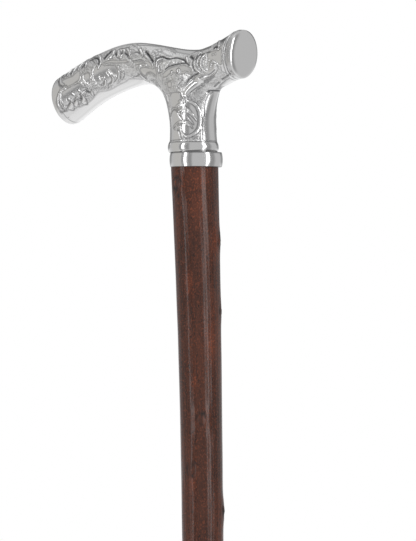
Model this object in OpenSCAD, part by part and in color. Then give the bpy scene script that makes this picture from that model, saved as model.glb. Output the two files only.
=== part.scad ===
// Walking stick: a natural bark stick with a stamped silver crook handle.
// Millimetres, +Z up the stick, origin at the middle of the foot.
// The handle lies in the XZ plane with its heel towards -X and its nose towards +X.

/* [Stick] */
// Height of the stick's flat top above the floor
stick_top = 855; // [780:1:930]
// Diameter of the stick just below the collar
stick_d = 22; // [20:0.2:25]
// Diameter of the stick just above the ferrule
stick_low_d = 17.6; // [16:0.2:20]
// How far the stick bows out of line at its middle
stick_bow = 6; // [0:0.5:12]
// How far the stick wavers either side of that bow
stick_waver = 0.4; // [0:0.1:1.5]
// Heading of the bow, from +X towards +Y
bow_heading = 36; // [0:1:359]
// How far the bark's top end sits off the spigot's axis, against the bow's heading
bark_shift = 0.7; // [0:0.1:0.8]
// Width of the shoulder that the collar sits on
collar_shoulder = 1; // [0.6:0.1:2]
// Width of the shoulder above the turned tip
tip_shoulder = 0.8; // [0.5:0.1:1.5]
// Length of turned tip left showing above the ferrule
tip_show = 3; // [1:0.5:8]
// Length of a knot along the stick
knot_length = 11; // [7:0.5:16]
// Width of a knot round the stick
knot_width = 8; // [5:0.5:12]

/* [Collar and rim band] */
// Height of the silver collar at the top of the stick
collar_h = 7; // [5:0.2:14]
// How far the collar's ends stand out from the stick
collar_lip = 1.3; // [0.8:0.1:2]
// How far the collar swells out between its ends
collar_swell = 0.4; // [0.2:0.1:1.5]
// Height of the rim band round the foot of the handle's neck
rim_h = 5; // [3:0.2:8]
// How far the rim band's ends stand out from the neck
rim_lip = 0.4; // [0.3:0.1:1.5]
// How far the rim band swells out between its ends
rim_swell = 0.55; // [0.2:0.05:1.2]

/* [Handle] */
// How far the handle sits off the stick's axis, towards the heel
handle_shift = 1.7; // [0:0.1:2]
// Thickness of the stamped silver
silver_t = 0.7; // [0.4:0.1:1.2]
// Diameter of the neck at its foot
neck_d = 22.4; // [20:0.2:25]
// How much narrower the neck's waist is, on the radius
neck_waist = 0.5; // [0:0.1:1]
// Height of the point where the neck runs into the bar
bar_height = 39; // [36:0.5:44]
// Width of the handle across that point
bar_width = 21.6; // [20:0.2:24]
// Distance of the heel's end behind the neck
heel_reach = 75.6; // [70:0.2:90]
// Height of the middle of the heel's end
heel_height = 27.5; // [22:0.5:32]
// Diameter of the heel's end
heel_d = 24.2; // [20:0.2:26]
// Lean of the heel's end
heel_tilt = 13; // [5:1:30]
// Depth of the upright rim of the heel's cap
heel_rim = 1.2; // [0.5:0.1:2.5]
// Depth of the dome on that rim
heel_dome = 3; // [2:0.1:5]
// Height of the middle of the grip
grip_height = 37.6; // [34:0.2:41]
// Depth of the grip at its middle
grip_depth = 23.2; // [20:0.2:26]
// Hollow under the grip
grip_hollow = 0.9; // [0:0.1:2.5]
// Width of the grip at its middle
grip_width = 21; // [18:0.2:24]
// Distance of the hump behind the neck
hump_reach = 33; // [28:0.5:38]
// Height of the middle of the hump
hump_height = 43.6; // [40:0.2:48]
// Depth of the handle at the hump
hump_depth = 20.8; // [18:0.2:24]
// Width of the handle at the hump
hump_width = 20; // [17:0.2:23]
// Distance of the nose's end in front of the neck
nose_reach = 27.5; // [24:0.5:34]
// Height of the middle of the nose's end
nose_height = 46; // [42:0.5:50]
// Diameter of the nose's flat disc
nose_d = 23; // [20:0.2:25]
// Forward lean of the disc's upper edge
nose_tilt = 4; // [0:1:10]
// Depth of the nose cap
nose_cap_h = 3; // [2.6:0.1:5]
// Rounding of the disc's edge
nose_edge = 2.2; // [1.2:0.1:2.5]

/* [Joining stud] */
// Diameter of the steel stud
stud_d = 8; // [6:0.5:9]
// Depth of the stud in the stick
stud_in_stick = 45; // [25:1:70]
// Depth of the stud in the handle
stud_in_handle = 25; // [16:1:27]
// Diameter of the brass insert that takes the stud
insert_d = 13; // [11.5:0.2:15]
// Length of the brass insert
insert_h = 28; // [28:0.5:34]

/* [Ferrule] */
// Diameter of the ferrule's foot
foot_d = 40; // [34:0.5:45]
// Height of the foot's upright edge
foot_h = 6; // [4:0.5:10]
// Height of the whole ferrule
ferrule_h = 42; // [34:1:60]
// Thickness of rubber under the washer
sole_t = 9; // [6:0.5:14]
// Thickness of rubber round the stick's tip
ferrule_wall = 3.6; // [3:0.1:5]
// Thickness of the steel washer
washer_t = 1.2; // [0.8:0.1:2]
// Diameter of the hole in the washer
washer_hole_d = 5; // [3:0.5:9]
// Depth of the grip grooves in the sole
groove_depth = 1.2; // [0.6:0.1:2.5]
// Width of the grip grooves in the sole
groove_width = 1.8; // [1:0.1:2.4]

/* [Hidden] */
$fn = 96;

// Clearance of glued and pushed fits, on the radius
fit = 0.05;
// Room between the silver and the filling
filling_room = 0.1;
// Room past the blind end of a drilled hole
drill_room = 1;
// How far one shape reaches into another that it is joined to or cut from
bite = 1;

neck_r = neck_d / 2;
heel_r = heel_d / 2;
nose_r = nose_d / 2;
spigot_d = stick_d - 2 * collar_shoulder;
tip_d = stick_low_d - 2 * tip_shoulder;
tip_z = sole_t + washer_t;
bark_low = ferrule_h + tip_show;
bark_top = stick_top - collar_h;

// Stations of the handle's middle line, [x, z, half width], heel to nose, in the handle's own frame.
// Its origin is the middle of the neck's foot.
junction = [-1, bar_height, bar_width / 2];
grip_x = -(heel_reach + hump_reach) / 2;
nose_root_x = nose_reach / 2;
nose_root_drop = 3.5;
nose_root_width = 21.2;
BAR = [[-heel_reach, heel_height, heel_r],
       [grip_x, grip_height, grip_width / 2],
       [-hump_reach, hump_height, hump_width / 2],
       junction,
       [nose_root_x, nose_height - nose_root_drop, nose_root_width / 2],
       [nose_reach, nose_height, nose_r]];
neck_mid_z = 18;
NECK = [junction, [0, neck_mid_z, neck_r - neck_waist], [0, rim_h, neck_r], [0, 0, neck_r]];

// Outlines on the plane where the two halves meet, [x, z].
grip_tilt = 23;
grip_low_tilt = 7;
hump_tilt = 8;
hump_low_depth = 10.9;
hump_low_tilt = 25;
saddle = [-1, 10.3];
nose_root_top = [-2.2, 8];
nose_root_low = [5.8, -10.5];
back_fillet = [-6, -10];
back_flare = [-0.7, 16];
front_fillet = [2.9, -10.5];
front_flare = [-0.5, 17];
function upper(s, half, tilt) = [s[0] - half * sin(tilt), s[1] + half * cos(tilt)];
function lower(s, half, tilt) = upper(s, -half, tilt);
function from(s, step) = [s[0] + step[0], s[1] + step[1]];
TOP_EDGE = [upper(BAR[0], heel_r, heel_tilt),
            upper(BAR[1], grip_depth / 2, grip_tilt),
            upper(BAR[2], hump_depth / 2, hump_tilt),
            from(junction, saddle),
            from(BAR[4], nose_root_top),
            upper(BAR[5], nose_r, -nose_tilt)];
BACK_EDGE = [lower(BAR[0], heel_r, heel_tilt),
             lower(BAR[1], grip_depth / 2 - grip_hollow, grip_low_tilt),
             lower(BAR[2], hump_low_depth, hump_low_tilt),
             from([-neck_r, bar_height], back_fillet),
             from([-neck_r, 0], back_flare),
             [-neck_r, rim_h],
             [-neck_r, 0]];
FRONT_EDGE = [[neck_r, 0],
              [neck_r, rim_h],
              from([neck_r, 0], front_flare),
              from([neck_r, bar_height], front_fillet),
              from(BAR[4], nose_root_low),
              lower(BAR[5], nose_r, -nose_tilt)];

// Knots of the stick: [depth below the stick's top, heading, how far it stands proud].
KNOTS = [[15, -102, 0.8], [42, 22, 1], [76, 30, 0.5], [104, 150, 0.9], [127, -54, 0.9], [151, -84, 0.5],
         [171, 28, 0.9], [206, 170, 1], [238, -70, 0.8], [271, 60, 1.3], [309, -160, 0.9], [341, -20, 1],
         [378, 110, 1.2], [415, -110, 0.8], [452, 15, 1], [490, 140, 1.1], [527, -60, 1], [566, 80, 0.8],
         [603, -150, 1], [640, -5, 0.9], [679, 120, 0.9], [716, -85, 0.8], [752, 40, 0.7], [785, -170, 0.6]];

// Rows along one span of the handle, and columns from its edge to its middle line
span_rows = 5;
side_columns = 6;
// Sides and rings of the stick's bark
bark_sides = 24;
bark_rings = 110;

// Smooth curve through stations

// Station k of p, carried on in a straight line past either end
function station(p, k) =
    k < 0 ? 2 * p[0] - p[1] :
    k >= len(p) ? 2 * p[len(p) - 1] - p[len(p) - 2] : p[k];

// Point at share u of the span after station k
function on_span(p, k, u) =
    let (a = station(p, k - 1), b = station(p, k), c = station(p, k + 1), d = station(p, k + 2))
    (2 * b + (c - a) * u + (2 * a - 5 * b + 4 * c - d) * u * u + (3 * b - a - 3 * c + d) * u * u * u) / 2;

// Share u, slowed down so that the curve comes to a stop at one station
function eased(u, k, stop) = k + 1 == stop ? 1 - (1 - u) * (1 - u) : k == stop ? u * u : u;

function curve(p, stop) =
    [for (k = [0:len(p) - 2], i = [0:span_rows - 1]) on_span(p, k, eased(i / span_rows, k, stop)),
     p[len(p) - 1]];

// Handle surface: three strips that meet along the middle line

// The bar's middle line stops at the junction, its station 3; an edge has no stop
function junction_station() = 3;
function no_stop() = -9;
join_row = junction_station() * span_rows;
bar_line = curve(BAR, junction_station());
neck_line = curve(NECK, 0);
neck_last = len(neck_line) - 1;
bar_last = len(bar_line) - 1;
STRIP_EDGES = [for (edge = [TOP_EDGE, BACK_EDGE, FRONT_EDGE]) curve(edge, no_stop())];
STRIP_LINES = [bar_line,
               [for (i = [0:join_row - 1]) bar_line[i], each neck_line],
               [for (i = [0:neck_last]) neck_line[neck_last - i],
                for (i = [join_row + 1:bar_last]) bar_line[i]]];
function strips() = [0, 1, 2];
function last_row(s) = len(STRIP_EDGES[s]) - 1;

// Point of strip s, row i, column j: a quarter ellipse from the edge (j = 0) out to the middle line
// (j = side_columns) on the near side, and on the far side for negative columns.
function skin_point(s, i, j, inset) =
    let (line = STRIP_LINES[s][i], edge = STRIP_EDGES[s][i], turn = 90 * j / side_columns,
         out = [edge[0] - line[0], edge[1] - line[1]], share = 1 - inset / norm(out))
    [line[0] + out[0] * share * cos(turn),
     -(line[2] - inset) * sin(turn),
     line[1] + out[1] * share * cos(turn)];

// Places in the point list: the middle line first, then each strip's rows without it
line_count = bar_last + 1 + neck_last;
function line_index(s, i) =
    s == 0 ? i :
    s == 1 ? (i <= join_row ? i : bar_last + i - join_row) :
    (i >= neck_last ? i - neck_last + join_row : bar_last + neck_last - i);
line_points = [each bar_line, for (i = [1:neck_last]) neck_line[i]];
function rows_before(s) = s == 0 ? 0 : len(STRIP_EDGES[s - 1]) + rows_before(s - 1);

function two_triangles(a, b, c, d, turned) =
    turned ? [[a, c, b], [a, d, c]] : [[a, b, c], [a, c, d]];

// One stamped half: its outer face, its inner face, the edge where the halves meet and the three ends
module half_shell() {
    layer_points = line_count + side_columns * rows_before(3);
    function at(s, i, j, layer) = layer * layer_points
        + (j == side_columns ? line_index(s, i) : line_count + (rows_before(s) + i) * side_columns + j);
    points = [for (inset = [0, silver_t]) each [
        for (p = line_points) [p[0], inset - p[2], p[1]],
        for (s = strips(), i = [0:last_row(s)], j = [0:side_columns - 1]) skin_point(s, i, j, inset)]];
    faces = [for (s = strips()) let (under = s > 0, n = last_row(s)) each [
        for (i = [0:n - 1], j = [0:side_columns - 1], layer = [0, 1])
            each two_triangles(at(s, i, j, layer), at(s, i + 1, j, layer),
                               at(s, i + 1, j + 1, layer), at(s, i, j + 1, layer), under != (layer == 1)),
        for (i = [0:n - 1])
            each two_triangles(at(s, i, 0, 0), at(s, i, 0, 1), at(s, i + 1, 0, 1), at(s, i + 1, 0, 0), under),
        for (i = [0, n], j = [0:side_columns - 1])
            each two_triangles(at(s, i, j, 0), at(s, i, j + 1, 0),
                               at(s, i, j + 1, 1), at(s, i, j, 1), under != (i == n))]];
    polyhedron(points, faces);
}

// The space inside both halves, as one solid
module filling_body(inset) {
    wide = 2 * side_columns - 1;
    function at(s, i, j) =
        j == side_columns ? line_index(s, i) :
        j == -side_columns ? line_count + line_index(s, i) :
        2 * line_count + (rows_before(s) + i) * wide + j + side_columns - 1;
    points = [for (side = [-1, 1], p = line_points) [p[0], side * (p[2] - inset), p[1]],
              for (s = strips(), i = [0:last_row(s)], j = [1 - side_columns:side_columns - 1])
                  skin_point(s, i, j, inset)];
    function up_row(s, i) = [for (j = [-side_columns:side_columns]) at(s, i, j)];
    function down_row(s, i) = [for (j = [side_columns - 1:-1:1 - side_columns]) at(s, i, j)];
    function turned(row) = [for (k = [len(row) - 1:-1:0]) row[k]];
    heel_end = concat(up_row(0, 0), down_row(1, 0));
    nose_end = concat(turned(up_row(0, last_row(0))), turned(down_row(2, last_row(2))));
    neck_end = concat(up_row(1, last_row(1)), down_row(2, 0));
    sides = [for (s = strips(), i = [0:last_row(s) - 1], j = [-side_columns:side_columns - 1])
        each two_triangles(at(s, i, j), at(s, i + 1, j), at(s, i + 1, j + 1), at(s, i, j + 1), s > 0)];
    polyhedron(points, concat(sides, [heel_end, nose_end, neck_end]));
}

// Bark of the stick

function arc(centre, r, from_angle, to_angle, steps = 8) =
    [for (k = [0:steps]) let (a = from_angle + (to_angle - from_angle) * k / steps)
        [centre[0] + r[0] * cos(a), centre[1] + r[1] * sin(a)]];
function apart(a, b) = let (d = abs(a - b) % 360) min(d, 360 - d);
taper_power = 3.2;
ripple = 0.18;
ripple_pitch = 290;
function bark_share(z) = (z - bark_low) / (bark_top - bark_low);
function bark_d(z) = stick_low_d + (stick_d - stick_low_d) * bark_share(z) ^ taper_power;
function knot_rise(z, heading, k) =
    let (along = (z - stick_top + k[0]) / (knot_length / 2),
         round = apart(heading, k[1]) * PI / 180 * stick_d / knot_width)
    k[2] * exp(-along * along - round * round);
function total(list, i = 0) = i == len(list) ? 0 : list[i] + total(list, i + 1);
function bark_r(z, heading) =
    bark_d(z) / 2 + ripple * sin(2 * heading + 360 * z / ripple_pitch)
    + total([for (k = KNOTS) knot_rise(z, heading, k)]);
half_wavers = 5;
function bow(z) =
    let (turn = 180 * (1 - bark_share(z)))
    stick_bow * sin(turn) + stick_waver * sin(half_wavers * turn) - bark_shift * bark_share(z);
function bark_point(z, heading) =
    [bow(z) * cos(bow_heading) + bark_r(z, heading) * cos(heading),
     bow(z) * sin(bow_heading) + bark_r(z, heading) * sin(heading), z];

// Bark from the ferrule to the collar: a ring of points at each level, joined to the next
module bark() {
    points = [for (i = [0:bark_rings], k = [0:bark_sides - 1])
        bark_point(bark_low + (bark_top - bark_low) * i / bark_rings, 360 * k / bark_sides)];
    function at(i, k) = i * bark_sides + k % bark_sides;
    sides = [for (i = [0:bark_rings - 1], k = [0:bark_sides - 1])
        each two_triangles(at(i, k), at(i + 1, k), at(i + 1, k + 1), at(i, k + 1), false)];
    low_end = [for (k = [0:bark_sides - 1]) at(0, k)];
    top_end = [for (k = [bark_sides - 1:-1:0]) at(bark_rings, k)];
    polyhedron(points, concat(sides, [low_end, top_end]));
}

// Places

module on_handle() {
    translate([-handle_shift, 0, stick_top]) children();
}

module at_nose() {
    on_handle() translate([nose_reach, 0, nose_height]) rotate([0, 90 + nose_tilt, 0]) children();
}

module at_heel() {
    on_handle() translate([-heel_reach, 0, heel_height]) rotate([0, -90 - heel_tilt, 0]) children();
}

// Round band with a swollen outside
module swollen_band(bore_r, end_r, swell, h) {
    rotate_extrude()
        polygon([[bore_r, 0], each arc([end_r, h / 2], [swell, h / 2], -90, 90), [bore_r, h]]);
}

// Sub-parts

module handle_shell_near() {
    color("silver") on_handle() half_shell();
}

module handle_shell_far() {
    color("silver") on_handle() mirror([0, 1, 0]) half_shell();
}

module handle_filling() {
    color("#3a2f28") difference() {
        on_handle() filling_body(silver_t + filling_room);
        translate([0, 0, stick_top - bite]) cylinder(d = insert_d + 2 * fit, h = insert_h + bite + fit);
    }
}

module nose_cap() {
    inner_r = nose_r - silver_t;
    edge_mid = [nose_r - nose_edge, nose_cap_h - nose_edge];
    inner_edge = nose_edge - silver_t;
    color("silver") at_nose() rotate_extrude()
        polygon([[inner_r, 0], [nose_r, 0],
                 each arc(edge_mid, [nose_edge, nose_edge], 0, 90),
                 [0, nose_cap_h], [0, nose_cap_h - silver_t],
                 each arc(edge_mid, [inner_edge, inner_edge], 90, 0)]);
}

module heel_cap() {
    inner_r = heel_r - silver_t;
    dome_steps = 14;
    color("silver") at_heel() rotate_extrude()
        polygon([[inner_r, 0], [heel_r, 0],
                 each arc([0, heel_rim], [heel_r, heel_dome], 0, 90, dome_steps),
                 each arc([0, heel_rim], [inner_r, heel_dome - silver_t], 90, 0, dome_steps)]);
}

module rim_band() {
    color("silver") on_handle() swollen_band(neck_r + fit, neck_r + rim_lip, rim_swell, rim_h);
}

module stud_insert() {
    color("#b08d4a") translate([0, 0, stick_top]) difference() {
        cylinder(d = insert_d, h = insert_h);
        translate([0, 0, -bite]) cylinder(d = stud_d + 2 * fit, h = stud_in_handle + bite + drill_room);
    }
}

module joining_stud() {
    color("#8c9096") translate([0, 0, stick_top - stud_in_stick])
        cylinder(d = stud_d, h = stud_in_stick + stud_in_handle);
}

module shaft_collar() {
    color("silver") translate([0, 0, bark_top])
        swollen_band(spigot_d / 2 + fit, stick_d / 2 + collar_lip, collar_swell, collar_h);
}

module shaft() {
    hole_depth = stud_in_stick + drill_room;
    color("#4f3228") difference() {
        union() {
            bark();
            translate([0, 0, bark_top - bite]) cylinder(d = spigot_d, h = collar_h + bite);
            translate([0, 0, tip_z]) cylinder(d = tip_d, h = bark_low - tip_z + bite);
        }
        translate([0, 0, stick_top - hole_depth]) cylinder(d = stud_d + 2 * fit, h = hole_depth + bite);
    }
}

module rubber_ferrule() {
    socket_r = tip_d / 2 + fit;
    sleeve_r = socket_r + ferrule_wall;
    foot_r = foot_d / 2;
    edge = 1.2;
    lip = 1.2;
    flare = [foot_r - sleeve_r, 1.5 * (foot_r - sleeve_r)];
    ring_d = 2.4;
    ring_pitch = 6;
    groove_pitch = 4.5;
    color("#2b2b2c") difference() {
        union() {
            rotate_extrude()
                polygon([[0, 0], each arc([foot_r - edge, edge], [edge, edge], -90, 0),
                         each arc([foot_r, foot_h + flare[1]], flare, -90, -180),
                         each arc([sleeve_r - lip, ferrule_h - lip], [lip, lip], 0, 90),
                         [socket_r, ferrule_h], [socket_r, sole_t], [0, sole_t]]);
            for (k = [1, 2])
                translate([0, 0, ferrule_h - k * ring_pitch])
                    rotate_extrude() translate([sleeve_r - ring_d / 4, 0]) circle(d = ring_d);
        }
        for (r = [1.5 * groove_pitch : groove_pitch : foot_r - groove_width - edge])
            translate([0, 0, -bite]) rotate_extrude()
                translate([r - groove_width / 2, 0]) square([groove_width, groove_depth + bite]);
    }
}

module ferrule_washer() {
    color("#9a9da1") translate([0, 0, sole_t]) difference() {
        cylinder(d = tip_d, h = washer_t);
        translate([0, 0, -bite]) cylinder(d = washer_hole_d, h = washer_t + 2 * bite);
    }
}

handle_shell_near();
handle_shell_far();
handle_filling();
nose_cap();
heel_cap();
rim_band();
stud_insert();
joining_stud();
shaft_collar();
shaft();
rubber_ferrule();
ferrule_washer();
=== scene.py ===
"""Walking stick with a chased silver crook handle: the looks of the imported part.

Shapes are worked out in millimetres and go into the meshes in metres. The handle has a frame of its own: its
origin is the middle of the neck's foot, where the silver rim band sits on the collar.
"""
import math

import bmesh
import bpy
import numpy as np
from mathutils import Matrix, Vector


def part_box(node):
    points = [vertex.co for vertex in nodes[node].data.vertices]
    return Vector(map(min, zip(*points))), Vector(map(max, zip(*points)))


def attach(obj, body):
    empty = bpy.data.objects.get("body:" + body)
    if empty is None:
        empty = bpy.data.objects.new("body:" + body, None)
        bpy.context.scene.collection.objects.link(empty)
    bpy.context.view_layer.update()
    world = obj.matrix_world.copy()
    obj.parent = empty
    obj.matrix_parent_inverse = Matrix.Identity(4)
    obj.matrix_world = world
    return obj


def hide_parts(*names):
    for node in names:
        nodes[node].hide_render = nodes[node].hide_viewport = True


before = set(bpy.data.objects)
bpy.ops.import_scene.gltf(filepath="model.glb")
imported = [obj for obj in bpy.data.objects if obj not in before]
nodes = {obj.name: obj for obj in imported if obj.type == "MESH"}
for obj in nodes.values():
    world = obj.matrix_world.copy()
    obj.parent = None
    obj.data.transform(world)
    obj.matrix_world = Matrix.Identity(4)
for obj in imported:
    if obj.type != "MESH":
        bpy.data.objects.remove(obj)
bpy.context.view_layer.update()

MM = 0.001
rim_low, rim_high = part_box("rim_band")
stick_low, stick_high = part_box("shaft")
SEAT = np.array([(rim_low.x + rim_high.x) / 2, 0, rim_low.z]) / MM


# Grids, turned profiles and meshes

def lattice(rows, columns, start=0, around=False):
    """Quads between neighbouring points of a grid; around also joins the last column to the first."""
    index = start + np.arange(rows * columns).reshape(rows, columns)
    following = np.roll(index, -1, 1) if around else index[:, 1:]
    leading = index if around else index[:, :-1]
    corners = [leading[:-1], following[:-1], following[1:], leading[1:]]
    return np.stack(corners, -1).reshape(-1, 4)


def tube(rows, sides, ring=False):
    """Faces of rings of points that follow one another. A ring's last row joins its first; any other tube is
    closed by a flat face at each end."""
    quads = lattice(rows, sides, around=True)
    first = np.arange(sides)
    last = first + (rows - 1) * sides
    if ring:
        closing = np.stack([last, np.roll(last, -1), np.roll(first, -1), first], -1)
        return np.vstack([quads, closing]).tolist()
    return quads.tolist() + [first[::-1].tolist(), last.tolist()]


def welded(points, quads, loops):
    """Points that coincide become one, and a corner that a face then repeats is dropped. Returns the points,
    the faces, and for each point the number of an old one at its place."""
    merged, first, number = np.unique(np.round(points, 5), axis=0, return_index=True, return_inverse=True)
    number = number.ravel()
    quads = number[quads]
    pinched = (quads == np.roll(quads, 1, 1)).any(1)
    others = [*quads[pinched], *(number[loop] for loop in loops)]
    others = [loop[loop != np.roll(loop, 1)].tolist() for loop in others]
    return merged, quads[~pinched].tolist() + [loop for loop in others if len(loop) > 2], first


def along(stations, t, stop=None):
    """Smooth line through stations at t: on each span a cubic whose slope at a station is half the step
    between its neighbours. At the stop station the line comes to rest, so that other lines can join it."""
    p = np.asarray(stations, float)
    lead = np.vstack([2 * p[0] - p[1], p, 2 * p[-1] - p[-2]])
    k = np.minimum(t.astype(int), len(p) - 2)
    u = t - k
    if stop is not None:
        u = np.where(k + 1 == stop, 1 - (1 - u)**2, np.where(k == stop, u**2, u))
    a, b, c, d = lead[k], lead[k + 1], lead[k + 2], lead[k + 3]
    u = u[:, None]
    return (2 * b + (c - a) * u + (2 * a - 5 * b + 4 * c - d) * u**2 + (3 * b - a - 3 * c + d) * u**3) / 2


def eased(share):
    """Smooth step: 0 up to share 0, 1 from share 1 on, and 3 share squared - 2 share cubed between."""
    share = np.clip(share, 0, 1)
    return share * share * (3 - 2 * share)


def turned(profile, sides, centre=(0, 0, 0), axis=(0, 0, 1), ring=False):
    """A profile of (radius, height) pairs carried round an axis: point = centre + height along the axis +
    radius across it. A ring's profile closes on itself; any other is closed by a flat face at each end."""
    profile = np.asarray(profile, float)
    up = np.asarray(axis, float)
    out = np.array([0, 1.0, 0])
    side = np.cross(up, out)
    turn = 2 * np.pi * np.arange(sides) / sides
    spokes = np.outer(np.cos(turn), out) + np.outer(np.sin(turn), side)
    points = profile[:, 1, None, None] * up + profile[:, 0, None, None] * spokes
    return points.reshape(-1, 3) + np.asarray(centre, float), tube(len(profile), sides, ring)


def arc(centre, radii, start, end, steps):
    """Points of an elliptical arc in a profile, from start to end degrees."""
    turn = np.radians(np.linspace(start, end, steps + 1))
    return np.stack([centre[0] + radii[0] * np.cos(turn), centre[1] + radii[1] * np.sin(turn)], -1)


def mesh_object(name, points, faces, material):
    """Smooth mesh object at the origin, from points in metres."""
    mesh = bpy.data.meshes.new(name)
    mesh.from_pydata(np.asarray(points).tolist(), [], faces)
    mesh.shade_smooth()
    mesh.materials.append(material)
    made = bpy.data.objects.new(name, mesh)
    bpy.context.scene.collection.objects.link(made)
    return made


def piece(name, shape, material, node, slot, crease=35, **values):
    """Piece of the stick from (points in mm, faces), shaded smooth below the crease angle. It rides on the
    root body, stands for its CAD node, and carries one value a point for each named attribute."""
    points, faces = shape
    made = mesh_object(name, np.asarray(points) * MM, faces, material)
    mesh = made.data
    shell = bmesh.new()
    shell.from_mesh(mesh)
    inside_out = shell.calc_volume(signed=True) < 0
    shell.free()
    if inside_out:
        mesh.flip_normals()
    mesh.set_sharp_from_angle(angle=math.radians(crease))
    for key, value in values.items():
        mesh.attributes.new(key, "FLOAT", "POINT").data.foreach_set("value", np.asarray(value, np.float32))
    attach(made, "root")
    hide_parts(node)


# Finishes

class Wire:
    """A shader value. Arithmetic on it adds Math nodes to its tree."""

    def __init__(self, finish, socket):
        self.finish = finish
        self.socket = socket

    def _math(self, operation, *pair):
        return self.finish.add("Math", {"operation": operation}, dict(enumerate(pair)))

    def __add__(self, other):
        return self._math("ADD", self, other)

    __radd__ = __add__

    def __sub__(self, other):
        return self._math("SUBTRACT", self, other)

    def __rsub__(self, other):
        return self._math("SUBTRACT", other, self)

    def __mul__(self, other):
        return self._math("MULTIPLY", self, other)

    __rmul__ = __mul__

    def __abs__(self):
        return self._math("ABSOLUTE", self)

    def __gt__(self, other):
        return self._math("GREATER_THAN", self, other)

    def between(self, low, high):
        """0 below low, 1 above high, and an eased step from one to the other."""
        ease = {"interpolation_type": "SMOOTHSTEP"}
        return self.finish.add("MapRange", ease, {"Value": self, "From Min": low, "From Max": high})


class Finish:
    """The node tree of a material or of the world. add() makes any node of it."""

    def __init__(self, owner):
        self.owner = owner
        owner.use_nodes = True
        self.tree = owner.node_tree
        self.tree.nodes.clear()

    def add(self, kind, settings=None, sockets=None, output=0):
        """A node of that kind: its settings are set first, then its sockets get values or links."""
        node = self.tree.nodes.new("ShaderNode" + kind)
        for key, value in (settings or {}).items():
            setattr(node, key, value)
        for key, value in (sockets or {}).items():
            if isinstance(value, Wire):
                self.tree.links.new(value.socket, node.inputs[key])
            else:
                node.inputs[key].default_value = value
        return Wire(self, node.outputs[output]) if node.outputs else None

    def blend(self, first, second, share):
        """Colour that goes from first to second as share goes from 0 to 1."""
        return self.add("Mix", {"data_type": "RGBA"}, {0: share, 6: first, 7: second}, 2)

    def place(self, stretch=(1, 1, 1)):
        """Object coordinates in metres, stretched for a pattern."""
        spot = self.add("TexCoord", output="Object")
        return self.add("Mapping", None, {"Vector": spot, "Scale": stretch})

    def noise(self, place, scale, detail=2.0, rough=0.5):
        """Cloudy value about 0.5."""
        sockets = {"Vector": place, "Scale": scale, "Detail": detail, "Roughness": rough}
        return self.add("TexNoise", None, sockets)

    def carried(self, name):
        """Value of a mesh attribute, 0 on a piece that has none of that name."""
        return self.add("Attribute", {"attribute_name": name}, output="Fac")

    def raised(self, height, reach, under=None):
        """Bump of the given height in metres, on top of another bump."""
        sockets = {"Height": height, "Distance": reach, "Strength": 1.0}
        if under:
            sockets["Normal"] = under
        return self.add("Bump", None, sockets)

    def surface(self, **sockets):
        """Principled surface; socket names have _ for a space."""
        named = {key.replace("_", " "): value for key, value in sockets.items()}
        return self.show(self.add("BsdfPrincipled", None, named))

    def show(self, shader):
        """Makes the shader the one that is seen. Returns the material or the world."""
        kind = "OutputWorld" if isinstance(self.owner, bpy.types.World) else "OutputMaterial"
        self.add(kind, None, {"Surface": shader})
        return self.owner


def shade(red, green, blue):
    """Linear colour from the 0 to 255 values that a screen shows."""
    s = np.array([red, green, blue]) / 255
    linear = np.where(s < 0.04045, s / 12.92, ((s + 0.055) / 1.055)**2.4)
    return (*linear.tolist(), 1.0)


def new_finish(name):
    """Empty node tree of a new material."""
    return Finish(bpy.data.materials.new(name))


CLEAN_SILVER = (0.9, 0.893, 0.885, 1)
# Colour of the dark tone: oxide in recesses together with painted shade
TARNISH_AND_SHADE = (0.08, 0.08, 0.085, 1)


def polished_silver():
    """Polished silver: clean on high spots, dark in chased recesses from oxide and painted shade, dull where
    the ground is matted.
    """
    f = new_finish("polished_silver")
    patina, matting = f.carried("patina"), f.carried("matting")
    place = f.place()
    cloud = f.noise(place, 70, 3)
    pebbles = f.add("TexVoronoi", {"feature": "F1"}, {"Vector": place, "Scale": 1150}, "Distance")
    gaps = 0.2 * matting * pebbles.between(0.45, 0.75)
    # Dark tone from the pieces: oxide in recesses plus painted shade at grooves, feet of forms, hollows and
    # band edges
    tarnish_and_shade = patina * (0.75 + 0.5 * cloud) + gaps
    colour = f.blend(CLEAN_SILVER, TARNISH_AND_SHADE, tarnish_and_shade)
    roughness = 0.09 + 0.05 * cloud + 0.26 * matting + 0.2 * patina
    wave = f.raised(cloud, 0.00003)
    dots = f.raised(matting * (1 - pebbles), 0.00005, wave)
    return f.surface(Base_Color=colour, Metallic=1.0, Roughness=roughness, Normal=dots)


def varnished_bark():
    """Thin red-brown bark under old varnish: grain along the stick, dark pores and scars, rusty flecks."""
    f = new_finish("varnished_bark")
    scar, rust = f.carried("scar"), f.carried("rust")
    cloud = f.noise(f.place((1, 1, 0.3)), 75, 3, 0.6)
    grain = f.noise(f.place((1, 1, 0.05)), 1100, 2, 0.6)
    fleck = f.noise(f.place((1, 1, 0.6)), 1700, 2, 0.7)
    pore = f.noise(f.place((1, 1, 0.45)), 800, 2, 0.6)
    brown = f.blend(shade(54, 27, 16), shade(80, 42, 27), cloud.between(0.3, 0.7))
    streaked = f.blend(brown, shade(38, 19, 12), 0.6 * grain.between(0.48, 0.7))
    pored = f.blend(streaked, shade(26, 13, 9), 0.7 * pore.between(0.56, 0.7))
    rusty = f.blend(pored, shade(112, 56, 34), 0.45 * rust)
    flecked = f.blend(rusty, shade(150, 76, 44), fleck.between(0.52, 0.66) * (0.35 + 0.45 * rust))
    colour = f.blend(flecked, shade(8, 6, 5), scar)
    skin = f.raised(grain + 0.8 * fleck, 0.00003)
    roughness = 0.2 + 0.12 * cloud + 0.3 * scar
    return f.surface(Base_Color=colour, Roughness=roughness, Normal=skin)


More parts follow.
